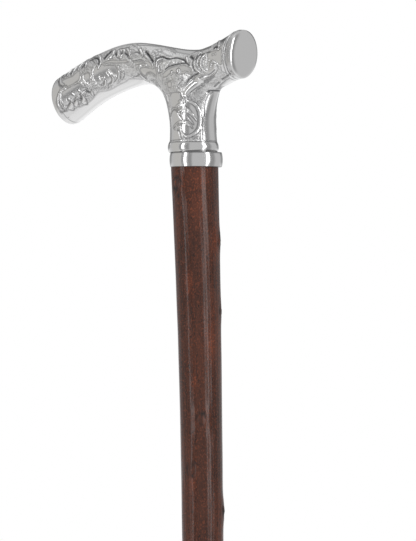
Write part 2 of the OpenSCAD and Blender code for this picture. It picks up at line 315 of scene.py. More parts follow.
def moulded_rubber():
    """Black rubber, dull with a fine grain and a greyer bloom."""
    f = new_finish("moulded_rubber")
    cloud = f.noise(f.place(), 120, 4, 0.6)
    grain = f.noise(f.place(), 2500, 2)
    colour = f.blend(shade(22, 22, 23), shade(46, 45, 45), cloud.between(0.35, 0.7))
    return f.surface(Base_Color=colour, Roughness=0.55 + 0.25 * cloud, Normal=f.raised(grain, 0.00006))


def cast_pitch():
    """Brown-black pitch with a faint gloss."""
    f = new_finish("cast_pitch")
    cloud = f.noise(f.place(), 160, 4)
    colour = f.blend(shade(20, 16, 14), shade(46, 34, 28), cloud.between(0.35, 0.7))
    return f.surface(Base_Color=colour, Roughness=0.3 + 0.3 * cloud, Normal=f.raised(cloud, 0.0003))


def turned_metal(name, dark, light):
    """Bar metal with fine turning lines round the stick's axis."""
    f = new_finish(name)
    lines = f.noise(f.place((0.02, 0.02, 1)), 3000, 2)
    colour = f.blend(dark, light, lines.between(0.3, 0.7))
    return f.surface(Base_Color=colour, Metallic=1.0, Roughness=0.25 + 0.2 * lines)


silver = polished_silver()
bark = varnished_bark()
rubber = moulded_rubber()
brass = turned_metal("turned_brass", shade(150, 112, 52), shade(205, 170, 96))
steel = turned_metal("drawn_steel", shade(120, 122, 126), shade(182, 184, 188))
for node_name, inner in [("handle_filling", cast_pitch()), ("stud_insert", brass), ("joining_stud", steel),
                         ("ferrule_washer", steel)]:
    nodes[node_name].data.materials.clear()
    nodes[node_name].data.materials.append(inner)


# Silver handle: outline and centre lines in the handle's own frame

NECK_R, NECK_WAIST = 11.2, 0.5
RIM_H = 5.0
SILVER_T = 0.7
# Half depths above and below the bar's middle line, each with its tilt in degrees
HEEL_R, HEEL_TILT = 12.1, 13
GRIP_HALF, GRIP_TILT = 11.6, 23
GRIP_LOW, GRIP_LOW_TILT = 10.7, 7
HUMP_HALF, HUMP_TILT = 10.4, 8
HUMP_LOW, HUMP_LOW_TILT = 10.9, 25
NOSE_R, NOSE_TILT = 11.5, -4
# Stations of the middle line: x, z and the half width there
HEEL_HALF = 11.6
HEEL = (-75.6, 27.5, HEEL_HALF)
GRIP = (-54.3, 37.6, 10.8)
HUMP = (-33, 43.6, 10)
JUNCTION = (-1, 39, 10.8)
ROOT = (13.75, 42.5, 10.6)
NOSE = (27.5, 46, NOSE_R)


def across(station, half, tilt):
    """Point at half a depth from a station, square to a bar that is tilted by so many degrees."""
    lean = math.radians(tilt)
    return (station[0] - half * math.sin(lean), station[1] + half * math.cos(lean))


BAR = [HEEL, GRIP, HUMP, JUNCTION, ROOT, NOSE]
NECK = [JUNCTION, (0, 18, NECK_R - NECK_WAIST), (0, RIM_H, NECK_R), (0, 0, NECK_R)]
# Outline on the middle plane: over the top, under the bar and down the neck's back, and up its front
TOP = [across(HEEL, HEEL_R, HEEL_TILT), across(GRIP, GRIP_HALF, GRIP_TILT),
       across(HUMP, HUMP_HALF, HUMP_TILT), (-2, 49.3), (11.55, 50.5), across(NOSE, NOSE_R, NOSE_TILT)]
BACK = [across(HEEL, -HEEL_R, HEEL_TILT), across(GRIP, -GRIP_LOW, GRIP_LOW_TILT),
        across(HUMP, -HUMP_LOW, HUMP_LOW_TILT), (-17.2, 29), (-11.9, 16), (-NECK_R, RIM_H), (-NECK_R, 0)]
FRONT = [(NECK_R, 0), (NECK_R, RIM_H), (10.7, 17), (14.1, 28.5), (19.55, 32),
         across(NOSE, -NOSE_R, NOSE_TILT)]
# Rows of points on each span of the bar and of the neck, and columns from the outline to the middle line
BAR_ROWS = [88, 88, 128, 60, 56]
NECK_ROWS = [84, 52, 20]
COLUMNS = 76
# The inner wall keeps every so many rows
INNER_STEP = 4
INNER_COLUMNS = 6


def shares(rows):
    """Places along a line with so many rows on each of its spans."""
    return np.concatenate([k + np.arange(n) / n for k, n in enumerate(rows)] + [[len(rows)]])


def strips():
    """The three strips of a half, one after the other round its outline: from the nose over the top to the
    heel, from the heel under the bar and down the back of the neck, and up the front to the nose. Each is
    its edge on the middle plane and its crest line with the half width there."""
    bar_t, neck_t = shares(BAR_ROWS), shares(NECK_ROWS)
    span = BAR.index(JUNCTION)
    bar, neck = along(BAR, bar_t, span), along(NECK, neck_t, NECK.index(JUNCTION))
    joint = sum(BAR_ROWS[:span])
    back_t = shares(BAR_ROWS[:span] + NECK_ROWS)
    front_t = shares(NECK_ROWS[::-1] + BAR_ROWS[span:])
    return [(along(TOP, bar_t)[::-1], bar[::-1]), (along(BACK, back_t), np.vstack([bar[:joint], neck])),
            (along(FRONT, front_t), np.vstack([neck[::-1], bar[joint + 1:]]))]


def strip_skin(edge, crest, columns):
    """Points and outward directions of a strip: quarter ellipses from the edge (0 degrees) to the crest
    (90 degrees). Point = crest + (edge - crest) cos, and half width times sin towards the viewer."""
    turn = np.radians(90 * np.arange(columns + 1) / columns)
    c, s = np.cos(turn)[None], np.sin(turn)[None]
    arm = edge - crest[:, :2]
    half = crest[:, 2][:, None]
    reach = (arm**2).sum(1)[:, None]
    points = np.stack([crest[:, :1] + arm[:, :1] * c, -half * s, crest[:, 1:2] + arm[:, 1:] * c], -1)
    lean = np.stack([arm[:, :1] / reach * c, -s / half, arm[:, 1:] / reach * c], -1)
    return points, lean / np.linalg.norm(lean, axis=-1, keepdims=True)


# Chased ornament, drawn in the side view of the handle: x towards the nose, z up, in millimetres

# Height of the matted ground over the plain fields and of its grain, and the share of all drawn heights kept
GROUND, GROUND_GRAIN, RELIEF = 0.08, 0.05, 0.72
# The relief grows between these angles from the edge of a strip, where it has this share of its height
EDGE_FADE, EDGE_RELIEF = (12, 38), 0.1
# Strokes have soft sides, so they are made wider than they are drawn
SPREAD, LINE_STEPS = 1.3, 8
RIDGE_LIFT, LEAF_LIFT, BEAD_LIFT = 1.1, 0.7, 0.42
PANEL_BORDER, PANEL_EDGE, FOOT_LINE = 0.2, 0.42, 0.28

# Plain fields, each an outline of corners
PANELS = [
    # Heel: end band, upper and lower reserves, small round reserve
    [(-84, 34), (-78, 39), (-76.5, 37), (-74.5, 34.5), (-72.5, 33), (-73, 31), (-74.3, 28.5), (-74.5, 25.5),
     (-73.7, 22.5), (-72.5, 21), (-71, 14), (-80, 14)],
    [(-73, 36.5), (-71.5, 37), (-69, 37.7), (-66, 38.3), (-64.5, 39.5), (-63, 40.7), (-61.5, 41),
     (-60.7, 39), (-61, 36.5), (-63, 35.3), (-66, 34), (-68.5, 33.2), (-71, 34.2)],
    [(-71.5, 30.7), (-68.5, 32.3), (-65, 33.7), (-61.5, 34.8), (-59.5, 34.3), (-57.3, 32.2), (-57.6, 31.5),
     (-61.3, 29.5), (-64.8, 27.3), (-67.1, 26.3), (-68.9, 24.4), (-71, 23.8), (-71.8, 26), (-72, 28.5)],
    [(-58.4, 37.5), (-57.5, 39.3), (-55.5, 39.8), (-54.4, 38.5), (-54.2, 36), (-55, 34.7), (-57, 35.2)],
    # Grip: middle panel and the plain band over it
    [(-52.5, 40.5), (-51, 43), (-49.5, 41.8), (-48, 43.5), (-45, 43), (-42, 42.8), (-39.5, 42.7),
     (-38.4, 41.3), (-38.2, 39), (-39, 37), (-41, 35.3), (-43.5, 34.3), (-46, 34), (-49, 33.7),
     (-51.5, 34.7), (-52.7, 37)],
    [(-47.5, 44.2), (-45, 45), (-41, 45.4), (-37, 45), (-33, 45.2), (-31, 44), (-34, 43.7), (-38.5, 43.7),
     (-42, 44), (-46, 43.8)],
    # Hump: plain band, lower panel
    [(-29, 43.7), (-26, 44), (-22, 43.6), (-20, 44.2), (-18.3, 43.3), (-17, 42), (-17, 40.3), (-18.8, 41.2),
     (-20.5, 42.8), (-24, 42.8), (-27, 42.4)],
    [(-25, 40), (-23.5, 41), (-21, 41.2), (-18.5, 40.5), (-16.5, 40), (-14.7, 41), (-14.3, 38), (-15, 36.5),
     (-16.3, 38), (-18.5, 38.8), (-20.5, 38.4), (-22.3, 37), (-24, 38.3)],
    # Top of the hump, and over the junction to the nose
    [(-31, 53), (-29, 52), (-24, 52), (-18, 51.3), (-14, 51.2), (-11, 50.5), (-8, 49.2), (-5, 47.8),
     (-1, 47), (3, 46.3), (5, 47), (8, 48.2), (12, 48), (16, 49), (15, 56), (-8, 57), (-31, 57)],
    # Under the acanthus leaf, and a small round reserve
    [(-9.5, 38.3), (-7.5, 39.5), (-5, 40.5), (-1, 40.9), (2.5, 41.2), (5, 40.3), (6.7, 39.5), (7.3, 37),
     (6, 36.2), (3, 37.3), (1, 36.7), (-2, 37.3), (-4.3, 38), (-6, 37.5), (-8, 36.3), (-10.5, 35.7),
     (-11, 37)],
    [(-8.8, 32.7), (-7.5, 33.7), (-6, 33.8), (-5.3, 33), (-5.4, 31.3), (-6.5, 30.7), (-8, 31)],
    # Neck: broad field with the arches and the oval, tall panel in front
    [(-14, 5.4), (-14, 27.5), (-9, 28.2), (-5.7, 28.4), (-3, 28.7), (-1, 28.6), (0.4, 28.2), (1.4, 27),
     (2.4, 25.6), (3.2, 24.2), (4.2, 23.6), (5.6, 22.8), (7, 21.2), (7.8, 19), (8.1, 16.5), (8.1, 13.5),
     (7.7, 11), (6.8, 9.3), (5.4, 8.2), (3.8, 8), (2.4, 8.6), (1.4, 7.6), (1.2, 5.8), (-6, 5.5)],
    [(9.7, 5.5), (9.5, 10), (9.35, 17), (9.8, 22), (10.7, 25.5), (12.2, 28.2), (14, 29), (17, 29.2),
     (17, 10), (14, 5)],
    # Nose: side panel, fold under it, plain underside, patch by the rim
    [(16, 46.3), (19, 47.2), (22, 47.3), (24.5, 50), (26, 58), (22, 58), (19, 53), (22.8, 51), (23.2, 48),
     (24.7, 48), (24.8, 44), (24.2, 41), (23, 40.5), (21, 42), (19, 43), (17.5, 41.5), (17, 39),
     (15.8, 38.5), (15.3, 40), (15.7, 42.5)],
    [(2, 28), (2.6, 29.8), (4, 32), (5.5, 33.8), (8, 35.2), (11.5, 36.4), (15, 37.6), (19.5, 40),
     (21.3, 38.5), (18, 35.8), (14, 33.9), (11, 32.4), (8.6, 30.9), (6.5, 29), (4.6, 27.6), (3.2, 27.2)],
    [(14.8, 29.8), (18, 31.8), (22, 33.8), (27, 35.5), (29, 32), (20, 25), (15.5, 25)],
    [(23.4, 40.6), (25, 41.4), (25.3, 38), (24.9, 36.6), (23, 37.6)],
]
# Plain underside of the bar
UNDERSIDE = [(-73.7, 20.7), (-70, 21.7), (-66, 23), (-62, 24.2), (-59, 25.8), (-56, 27.6), (-53.5, 29.4),
             (-51, 30.6), (-47, 31.2), (-43, 32.6), (-39, 34), (-36, 35), (-33, 36), (-29, 36), (-26, 35.5),
             (-23, 33.8), (-20, 31.5), (-17, 24), (-30, 22), (-55, 10), (-78, 10)]

# Grooves: half width, depth, points. Their bottoms are dark, with oxide and painted shade.
GROOVES = [
    # Heel
    (0.6, 0.4, [(-78.3, 37.7), (-76, 36.3), (-74.3, 34.8), (-72.5, 33.8), (-71, 33.7)]),
    (0.35, 0.15, [(-71, 33.7), (-68.5, 32.9), (-66, 33.7), (-63, 35), (-60.8, 35.9)]),
    (0.35, 0.15, [(-71.7, 30.8), (-69.7, 31.8), (-68, 32.6)]),
    (0.95, 0.6, [(-71.8, 38.8), (-71.3, 39.7), (-70.9, 40.7)]),
    (0.95, 0.6, [(-68, 40), (-67.8, 41.2), (-67.6, 42.3)]),
    (0.9, 0.6, [(-64.6, 41.8), (-64.5, 42.9), (-64.3, 43.9)]),
    (1.0, 0.6, [(-61, 42.6), (-60.5, 43.7), (-60.2, 45)]),
    (0.4, 0.2, [(-73.2, 38), (-72, 37.4), (-70.2, 37.5), (-69, 38.3)]),
    (0.4, 0.2, [(-68.5, 39.5), (-67.3, 38.7), (-65.6, 38.8), (-64.7, 39.8)]),
    (0.4, 0.2, [(-65.4, 42), (-64, 41.2), (-62.6, 40.9), (-61.3, 41.8)]),
    (0.4, 0.35, [(-58.8, 34.5), (-57.5, 33), (-56.2, 31.8)]),
    (0.8, 0.4, [(-58.4, 31.2), (-57.4, 31.4)]),
    (0.8, 0.55, [(-57.6, 31), (-56.3, 30.4)]),
    (0.35, 0.25, [(-58.8, 38.7), (-57.3, 39.8), (-55.6, 40.1), (-54.4, 39)]),
    (0.35, 0.25, [(-53.8, 36.6), (-54, 35.3), (-55, 34.3)]),
    (0.55, 0.45, [(-69, 24), (-68, 25), (-67, 26)]),
    (0.4, 0.3, [(-68.3, 27.2), (-67.5, 26.4)]),
    (0.5, 0.4, [(-65.1, 26.2), (-64.4, 27.4), (-64, 28.2)]),
    (0.5, 0.45, [(-61.7, 27), (-61.1, 28.4), (-61, 29.8)]),
    (0.6, 0.35, [(-74, 20.8), (-72, 21.6), (-70.4, 21.7)]),
    # Lower edge of the ornament along the bar
    (0.35, 0.22, [(-70.5, 21.6), (-67, 22.8), (-62.5, 24.1), (-59.5, 25.5), (-56.5, 27.3), (-53.5, 29.4),
                  (-51.5, 30.5), (-48, 30.9), (-45, 31.7), (-42, 32.9), (-39, 34), (-36, 34.9), (-33.5, 36),
                  (-31, 36.1), (-28, 35.9), (-26, 35.7)]),
    # Grip
    (0.65, 0.55, [(-57.5, 45.8), (-56, 46.4), (-54, 46.9), (-52, 46.7), (-50.7, 45.8), (-50, 44.7),
                  (-49.8, 43.6)]),
    (0.4, 0.3, [(-55.3, 46.1), (-54, 45.3), (-53, 44.4)]),
    (1.2, 0.65, [(-47, 46.6), (-46, 48.2), (-44.8, 49.6)]),
    (0.75, 0.6, [(-40.7, 48.7), (-39.7, 47.7)]),
    (0.4, 0.35, [(-43, 45.9), (-41.5, 46.4)]),
    (0.4, 0.3, [(-38.5, 46.3), (-36.8, 45.6), (-35.3, 46.4)]),
    (0.95, 0.6, [(-36.8, 48.7), (-36.5, 48.4)]),
    (0.45, 0.35, [(-40, 50.7), (-39, 51), (-37, 50.9), (-34.5, 51.4), (-33, 50.5)]),
    (0.4, 0.3, [(-37, 52.8), (-34, 53), (-32, 52.2), (-30.2, 51.5)]),
    (0.75, 0.6, [(-34.3, 48.4), (-33, 47.7), (-32.3, 47)]),
    (0.4, 0.4, [(-32, 46), (-30.3, 45.6), (-29, 44.5), (-27.5, 44.5), (-25, 44.8), (-22.3, 44.4)]),
    (0.55, 0.45, [(-28.8, 48.7), (-27, 48.6), (-25.7, 48)]),
    (0.4, 0.3, [(-30.8, 48.5), (-29.8, 47.8)]),
    (0.35, 0.18, [(-46, 42.5), (-43.5, 43.3), (-40.5, 43.4), (-38.8, 42.7), (-38.2, 41)]),
    (0.4, 0.35, [(-44.2, 39.5), (-43, 38), (-42.6, 36.5), (-43.2, 35.2), (-44.5, 34.4), (-45.6, 33.3),
                 (-45.9, 32.3)]),
    (0.3, 0.22, [(-43, 40.6), (-41.5, 39.1), (-40, 38), (-39, 37.7)]),
    (0.3, 0.2, [(-48.6, 37.6), (-48.3, 36.6), (-47.5, 35.6)]),
    (0.6, 0.38, [(-47, 35.3), (-47.7, 34.4), (-49, 33.5)]),
    (0.5, 0.3, [(-53.5, 31.7), (-52, 32.3), (-51, 32.6)]),
    (0.45, 0.32, [(-36.5, 39.2), (-37.3, 37.8), (-38, 36.2)]),
    (0.4, 0.35, [(-29.8, 37.3), (-28.3, 37.2), (-27, 37.7), (-26.6, 38.5)]),
    (0.3, 0.12, [(-34.8, 39), (-33.5, 37.9), (-31.8, 37.4)]),
    # Hump
    (0.8, 0.65, [(-22.5, 48.8), (-20.8, 47.5), (-19.3, 46.3), (-17.8, 44.8), (-16.5, 43.4)]),
    (0.4, 0.3, [(-15.3, 48.3), (-14, 48.3)]),
    (0.4, 0.3, [(-16.2, 46), (-15.7, 46)]),
    (0.55, 0.45, [(-14.9, 43.8), (-14.9, 45), (-13.5, 45.7)]),
    (0.4, 0.3, [(-14, 50.7), (-11, 50), (-8, 48.5), (-5.3, 47.2)]),
    (0.35, 0.3, [(-23.3, 42), (-21.8, 41.8)]),
    (0.3, 0.2, [(-20, 41.5), (-18.6, 40.6)]),
    (0.45, 0.32, [(-25.4, 39.3), (-24.3, 37.8), (-23.2, 36.7), (-22.3, 36)]),
    (0.35, 0.25, [(-22.3, 36.3), (-21, 37.5), (-19.5, 38.2), (-17.8, 38), (-16.3, 37), (-15.5, 35.8)]),
    (0.5, 0.32, [(-16.4, 35), (-16, 33.3), (-15, 31.3)]),
    (0.6, 0.3, [(-14, 30), (-12.5, 28.5), (-11, 26.5)]),
    # Acanthus leaf over the junction
    (0.55, 0.55, [(-14.5, 45.3), (-13, 45.8), (-11, 45.6), (-9, 44.8), (-7, 44.6), (-4.5, 45), (-2.5, 44.9),
                  (-0.5, 44.3), (1.5, 43.7), (3, 42.6)]),
    (0.5, 0.5, [(-8.7, 39.7), (-7, 40.7), (-5, 41.3), (-2.5, 41.7), (0, 42), (2.5, 42.2), (4, 41.7),
                (5.3, 40.9)]),
    (0.35, 0.3, [(-7, 41.7), (-5.8, 42.8)]),
    (0.4, 0.35, [(-12.7, 43.8), (-11, 44.1)]),
    (0.35, 0.25, [(-12.2, 39.2), (-12.3, 40.5)]),
    (1.0, 0.6, [(4.6, 45.4), (5.8, 44.7), (6.9, 44.2)]),
    (0.5, 0.45, [(7.2, 43.4), (7.2, 41.4), (7.8, 39.6), (8.8, 38)]),
    (0.55, 0.5, [(8.9, 43.3), (9.5, 44.5), (10.2, 45.5), (12, 46), (14.5, 46.5), (17, 47)]),
    # Nose
    (0.4, 0.35, [(12.2, 45.6), (10.9, 43.6), (10.6, 41.4), (11, 39.8)]),
    (0.4, 0.42, [(10.3, 34.9), (12.5, 35.6), (14.5, 36.1), (17, 37), (19.7, 38.4)]),
    (0.35, 0.3, [(12.8, 32.4), (14.4, 33.2), (15.8, 34)]),
    (0.35, 0.35, [(15, 30.8), (16.6, 31.8), (18.5, 32.8)]),
    (0.4, 0.4, [(20.6, 34), (22.6, 34.8), (24.4, 35.6), (26.4, 36.6)]),
    (0.8, 0.2, [(18.7, 41), (18.2, 39.5)]),
    (0.8, 0.6, [(18.8, 48.5), (20, 49.3), (21.3, 48.6)]),
    (0.35, 0.25, [(26.6, 58), (25.8, 50), (25.4, 45), (24.8, 38), (24.2, 33)]),
    (0.5, 0.4, [(5.4, 28.2), (7.6, 30), (9.6, 31.4), (12, 32.6), (15, 34), (18, 35.4)]),
    (0.7, 0.5, [(3.6, 32.6), (5, 34.5), (7.4, 36), (10, 36.9)]),
    # Centre
    (0.3, 0.18, [(-0.3, 37.2), (1, 38), (3, 38.4), (5, 38.1)]),
    (0.35, 0.25, [(-8.8, 33.3), (-7, 34.2), (-5.3, 34.1)]),
    (0.35, 0.25, [(-1.2, 31.8), (0, 33.2), (1.5, 34.3)]),
    (0.5, 0.3, [(3, 33), (2.7, 31.2)]),
    # Neck
    (0.35, 0.3, [(-6.5, 27.3), (-5.5, 28.2), (-3, 28.5), (-0.8, 28.3), (0.5, 27.6)]),
    (0.3, 0.25, [(2.4, 26.3), (3, 25.3)]),
    (0.4, 0.35, [(-6.5, 18.3), (-5, 19.7), (-3.5, 20), (-2, 19.2), (-1, 17.8), (0.2, 16.5), (1.3, 15.5)]),
    (0.35, 0.3, [(-3.5, 20.1), (-1.2, 19.8)]),
    (0.5, 0.38, [(-2, 10.6), (-0.8, 10), (0.2, 8.7), (0.9, 7.5), (1.2, 6.3)]),
    (0.3, 0.22, [(2.5, 7.3), (4, 6.3), (5.5, 6.2)]),
    (0.6, 0.55, [(12, 28.3), (12.7, 28.9), (14, 29.1), (16, 29.2)]),
    (0.3, 0.2, [(4.2, 23.2), (6, 22.7), (7.6, 21), (8.6, 18.7)]),
]

# Ridges: half width, height, share of the width left at the end, points
RIDGES = [
    # Heel
    (0.55, 0.45, 0.6, [(-77, 39.6), (-75.2, 37.8), (-73.4, 35.5), (-72, 34.8), (-70.5, 34.4)]),
    (0.5, 0.1, 0.8, [(-69, 33.4), (-71, 32.4), (-72.8, 30.6), (-73.5, 28), (-73.6, 25.5), (-73, 23.2),
                     (-72, 21.9)]),
    (0.42, 0.06, 0.8, [(-71.8, 29.7), (-72.3, 27.5), (-72, 25), (-71.3, 23.4), (-70.4, 22.6)]),
    (0.75, 0.5, 1.0, [(-78, 40), (-74, 39.2), (-71.2, 38.5)]),
    (0.45, 0.6, 0.9, [(-69.4, 42), (-69.6, 40.4), (-69.9, 39)]),
    (0.45, 0.6, 0.9, [(-66, 43.2), (-66.1, 41.2), (-66.4, 39.4)]),
    (0.45, 0.6, 0.9, [(-62.4, 45), (-62.7, 43), (-63.1, 41.4)]),
    (0.7, 0.5, 0.7, [(-60.6, 46.5), (-58.8, 44.3), (-58.2, 42.6)]),
    (1.1, 0.5, 0.1, [(-67.9, 23.3), (-67, 24.5), (-66.3, 25.7)]),
    (0.8, 0.5, 0.1, [(-64.8, 24.6), (-64.1, 25.8), (-63.5, 27)]),
    (0.42, 0.08, 0.6, [(-65.4, 30), (-64, 28.9), (-62.5, 27.5), (-61.6, 26.4)]),
    (0.45, 0.1, 0.6, [(-67.6, 27.4), (-66.4, 26.7), (-65.6, 26.2)]),
    (0.4, 0.08, 0.6, [(-61.6, 31.4), (-60, 30.2), (-58.8, 28.8)]),
    (0.8, 0.5, 0.1, [(-61, 25.6), (-60, 27.2), (-60, 29)]),
    (0.5, 0.4, 0.5, [(-55.1, 29.3), (-54.7, 31)]),
    # Grip
    (0.4, 0.32, 0.5, [(-54.7, 46.1), (-52.8, 45.3), (-51.5, 44.3), (-51, 43.1)]),
    (0.6, 0.55, 0.4, [(-57, 47.8), (-53.5, 48.2), (-50.8, 47.4), (-49.2, 45.8), (-48.5, 44.2), (-48.7, 43),
                      (-49.6, 41.6)]),
    (0.6, 0.55, 0.6, [(-42.2, 49.7), (-41.9, 48), (-42.8, 46.8), (-44.2, 45.6)]),
    (0.45, 0.45, 1.0, [(-36, 47.3), (-37.6, 47.3), (-38.3, 48.7), (-37.8, 50), (-36.5, 50.3), (-35.3, 49.6),
                       (-35.2, 48.2), (-35.8, 47.4)]),
    (0.55, 0.45, 0.6, [(-31.5, 49.3), (-31.2, 47.2)]),
    (0.45, 0.4, 0.6, [(-39.2, 49.8), (-38.6, 48), (-38.5, 46.8)]),
    (0.45, 0.4, 0.6, [(-34, 50.5), (-32.5, 49.3), (-31.7, 48.3)]),
    (0.5, 0.45, 0.4, [(-26.2, 50), (-25, 48.8), (-23.7, 47.6), (-22.9, 46)]),
    (0.42, 0.38, 0.4, [(-41.5, 37), (-41.9, 35.8), (-42.6, 34.7), (-44.2, 33.5)]),
    (0.42, 0.38, 0.4, [(-46, 35.4), (-46.5, 34), (-47.7, 32.9)]),
    (0.42, 0.38, 0.4, [(-36, 38.6), (-36.6, 37), (-37.3, 36)]),
    (0.4, 0.35, 0.4, [(-34.9, 39.2), (-35.6, 37.3)]),
    (0.42, 0.38, 0.6, [(-37.6, 42.2), (-37, 40.8), (-36.4, 39.9)]),
    # Hump
    (0.5, 0.3, 0.4, [(-21.7, 46.6), (-19.7, 45.4), (-18.3, 44.3)]),
    (0.55, 0.5, 0.3, [(-16, 45.6), (-15.6, 44), (-15.7, 41.8)]),
    (0.5, 0.38, 0.8, [(-25, 41.1), (-24, 42)]),
    (0.55, 0.45, 0.5, [(-25.3, 37.4), (-23.8, 35.8), (-22.3, 34.6)]),
    (0.4, 0.25, 0.5, [(-19.5, 34.5), (-18.3, 32.5)]),
    (0.4, 0.25, 0.5, [(-18, 34.6), (-17, 32.3)]),
    # Acanthus leaf
    (0.45, 0.42, 0.6, [(-14.1, 41.3), (-14, 43.5), (-12.8, 44.7), (-11, 44.9)]),
    (0.4, 0.38, 0.6, [(-12.7, 38.5), (-13, 40.7), (-12.3, 42.3), (-10.8, 43.2)]),
    (0.35, 0.32, 0.6, [(-11.5, 38.6), (-11.2, 40.3), (-11.6, 41.6)]),
    (0.5, 0.5, 0.3, [(2.5, 44.8), (4, 42.8), (5.8, 41.1)]),
    # Nose
    (0.7, 0.8, 0.8, [(10.6, 46.4), (9.1, 44.6), (8.6, 42.5), (8.9, 40.5), (10, 38.6), (12.2, 37.2)]),
    (0.75, 0.85, 0.9, [(14.7, 45.6), (13.2, 44.2), (12.4, 42.2), (12.5, 40.3), (13.4, 38.8), (15, 37.9)]),
    (0.6, 0.55, 0.8, [(14.5, 51.5), (18, 52.3), (20.7, 51.3), (22, 49.5), (22.4, 47.9)]),
    (0.5, 0.5, 1.0, [(27.4, 58), (26.7, 50), (26.3, 45), (25.7, 38), (25.1, 33)]),
    (1.9, 0.95, 0.7, [(9.8, 33.4), (8.4, 32.4), (6.7, 31.2), (4.8, 29.7), (3.2, 28)]),
    (1.3, 0.9, 0.8, [(9.2, 33.8), (11.5, 34.9), (13.6, 35.7), (17, 37.2), (19.4, 38.8), (20.4, 40)]),
    # Centre
    (0.35, 0.3, 1.0, [(-0.8, 37.7), (-1.5, 38.1), (-1.5, 39), (-0.8, 39.4), (-0.1, 39), (-0.1, 38.1),
                      (-0.8, 37.7)]),
    (0.35, 0.3, 0.6, [(-5, 38.4), (-5.2, 36.7)]),
    (0.35, 0.38, 0.6, [(-0.8, 31.2), (0.2, 32.4), (1.7, 33.6)]),
    # Neck
    (0.4, 0.32, 0.8, [(0.7, 28), (1.4, 26.8), (2.1, 25.4), (2.8, 24.1)]),
    (0.3, 0.22, 0.6, [(-6.9, 17.6), (-5.8, 19.8), (-3.8, 20.9), (-1.8, 20.5), (-0.6, 19.3)]),
    (0.35, 0.3, 0.6, [(-4.2, 11.9), (-2.5, 13.2), (-1, 14), (0.6, 14.3)]),
    (0.32, 0.3, 0.6, [(2, 27.2), (3.2, 26.4), (4.1, 25.8)]),
    (0.35, 0.3, 0.6, [(-0.2, 24.2), (0.8, 23.3), (1.9, 23)]),
    (0.35, 0.3, 0.6, [(-1.5, 22.2), (0, 22.8), (1.4, 23.6)]),
    (0.4, 0.4, 1.0, [(1.1, 18.8), (0.9, 18), (0.2, 17.8), (-0.6, 18.2), (-0.8, 19), (-0.3, 19.7),
                     (0.5, 19.7)]),
    (0.4, 0.38, 0.4, [(1.1, 19), (2.5, 19.4), (4, 19), (5.5, 17.8), (6.6, 16.3), (7.5, 14.8)]),
    (0.4, 0.36, 0.4, [(3.2, 20.8), (4.5, 20), (5.6, 18.7)]),
    (0.36, 0.32, 0.4, [(4.1, 16.3), (5.3, 14.8), (6.4, 13)]),
    (0.4, 0.36, 0.4, [(0, 14.2), (2, 13.9), (3.7, 13.4), (5.2, 12.6), (6.1, 11.2)]),
    (0.4, 0.34, 0.5, [(-2.4, 12.4), (-1, 13)]),
    (0.4, 0.34, 0.5, [(-2.8, 11.4), (-1.6, 11.7)]),
    (0.55, 0.38, 1.0, [(4.4, 24.2), (6.3, 23.2), (7.8, 21.2), (8.5, 18.8), (8.75, 16), (8.65, 13),
                       (8.2, 10.8), (7.2, 9), (5.6, 7.7), (4, 7.2), (2.6, 7.8), (1.5, 8.8), (0.7, 10),
                       (0.3, 11.2)]),
    (0.45, 0.36, 0.6, [(1.2, 8.4), (1.5, 7), (1.6, 6.1)]),
    (0.3, 0.22, 1.0, [(9.45, 17), (9.8, 21), (10.5, 24.5), (11.6, 27.2), (12.9, 28.5)]),
]

# Lobed leaves: half width, height, lobes, points
LEAVES = [
    (0.9, 0.25, 3, [(-44.2, 40.6), (-43.2, 39.2), (-42.1, 37.6)]),
    (0.7, 0.2, 3, [(-41.7, 38.9), (-40.6, 37.6), (-40, 36.3)]),
    (1.3, 0.4, 4, [(-22, 35.3), (-20, 36.7), (-17.8, 36.6), (-16, 35.4)]),
    (1.25, 0.45, 4, [(-13, 48.9), (-9.5, 47.6), (-6, 45.9)]),
    (1.45, 0.55, 5, [(-11.7, 42), (-8, 42.8), (-5, 43.2), (-2, 43.4), (2, 43)]),
    (1.0, 0.4, 3, [(19.7, 41), (21, 39.5), (22.3, 37)]),
    (1.1, 0.4, 4, [(-57.5, 44.6), (-55.5, 43.5), (-53, 42.7)]),
    (0.9, 0.4, 3, [(0.2, 30), (0.9, 31.3), (1.5, 32.6)]),
    (1.0, 0.35, 4, [(-9.5, 30), (-8, 28.5), (-6.7, 26.8)]),
    (1.0, 0.35, 4, [(-5, 36.7), (-3.8, 35), (-3.3, 32.8)]),
    (0.9, 0.35, 3, [(-3.3, 31.3), (-2.7, 29.8), (-2.6, 28.8)]),
    (1.1, 0.35, 4, [(-12.7, 37.7), (-12.8, 35.7), (-11.8, 33.5)]),
    (1.0, 0.35, 4, [(6.3, 29.5), (8, 30.5), (10.5, 30.8)]),
    (1.0, 0.35, 4, [(4.5, 26.8), (6.5, 27.2), (8.7, 26.2)]),
    (0.8, 0.6, 4, [(-0.8, 24.1), (1, 23.8), (2.8, 24.2)]),
    (0.8, 0.6, 4, [(-2.6, 21.6), (-0.4, 22.3), (1.8, 23.2)]),
    (1.15, 0.75, 4, [(0.4, 19.8), (2.6, 20.3), (4.6, 19.2), (6.6, 16.8)]),
    (1.0, 0.7, 4, [(-1.2, 13.9), (1.4, 14.4), (3.6, 13.7), (5.8, 11.8)]),
    (0.9, 0.6, 3, [(-3.6, 10.9), (-1.4, 11.8), (0.4, 11.4), (1.5, 9.6)]),
    (0.9, 0.35, 3, [(-9, 24), (-8.5, 21.5), (-8.8, 19)]),
    (0.9, 0.35, 3, [(-8.5, 15.5), (-8.2, 13), (-7.5, 11)]),
]

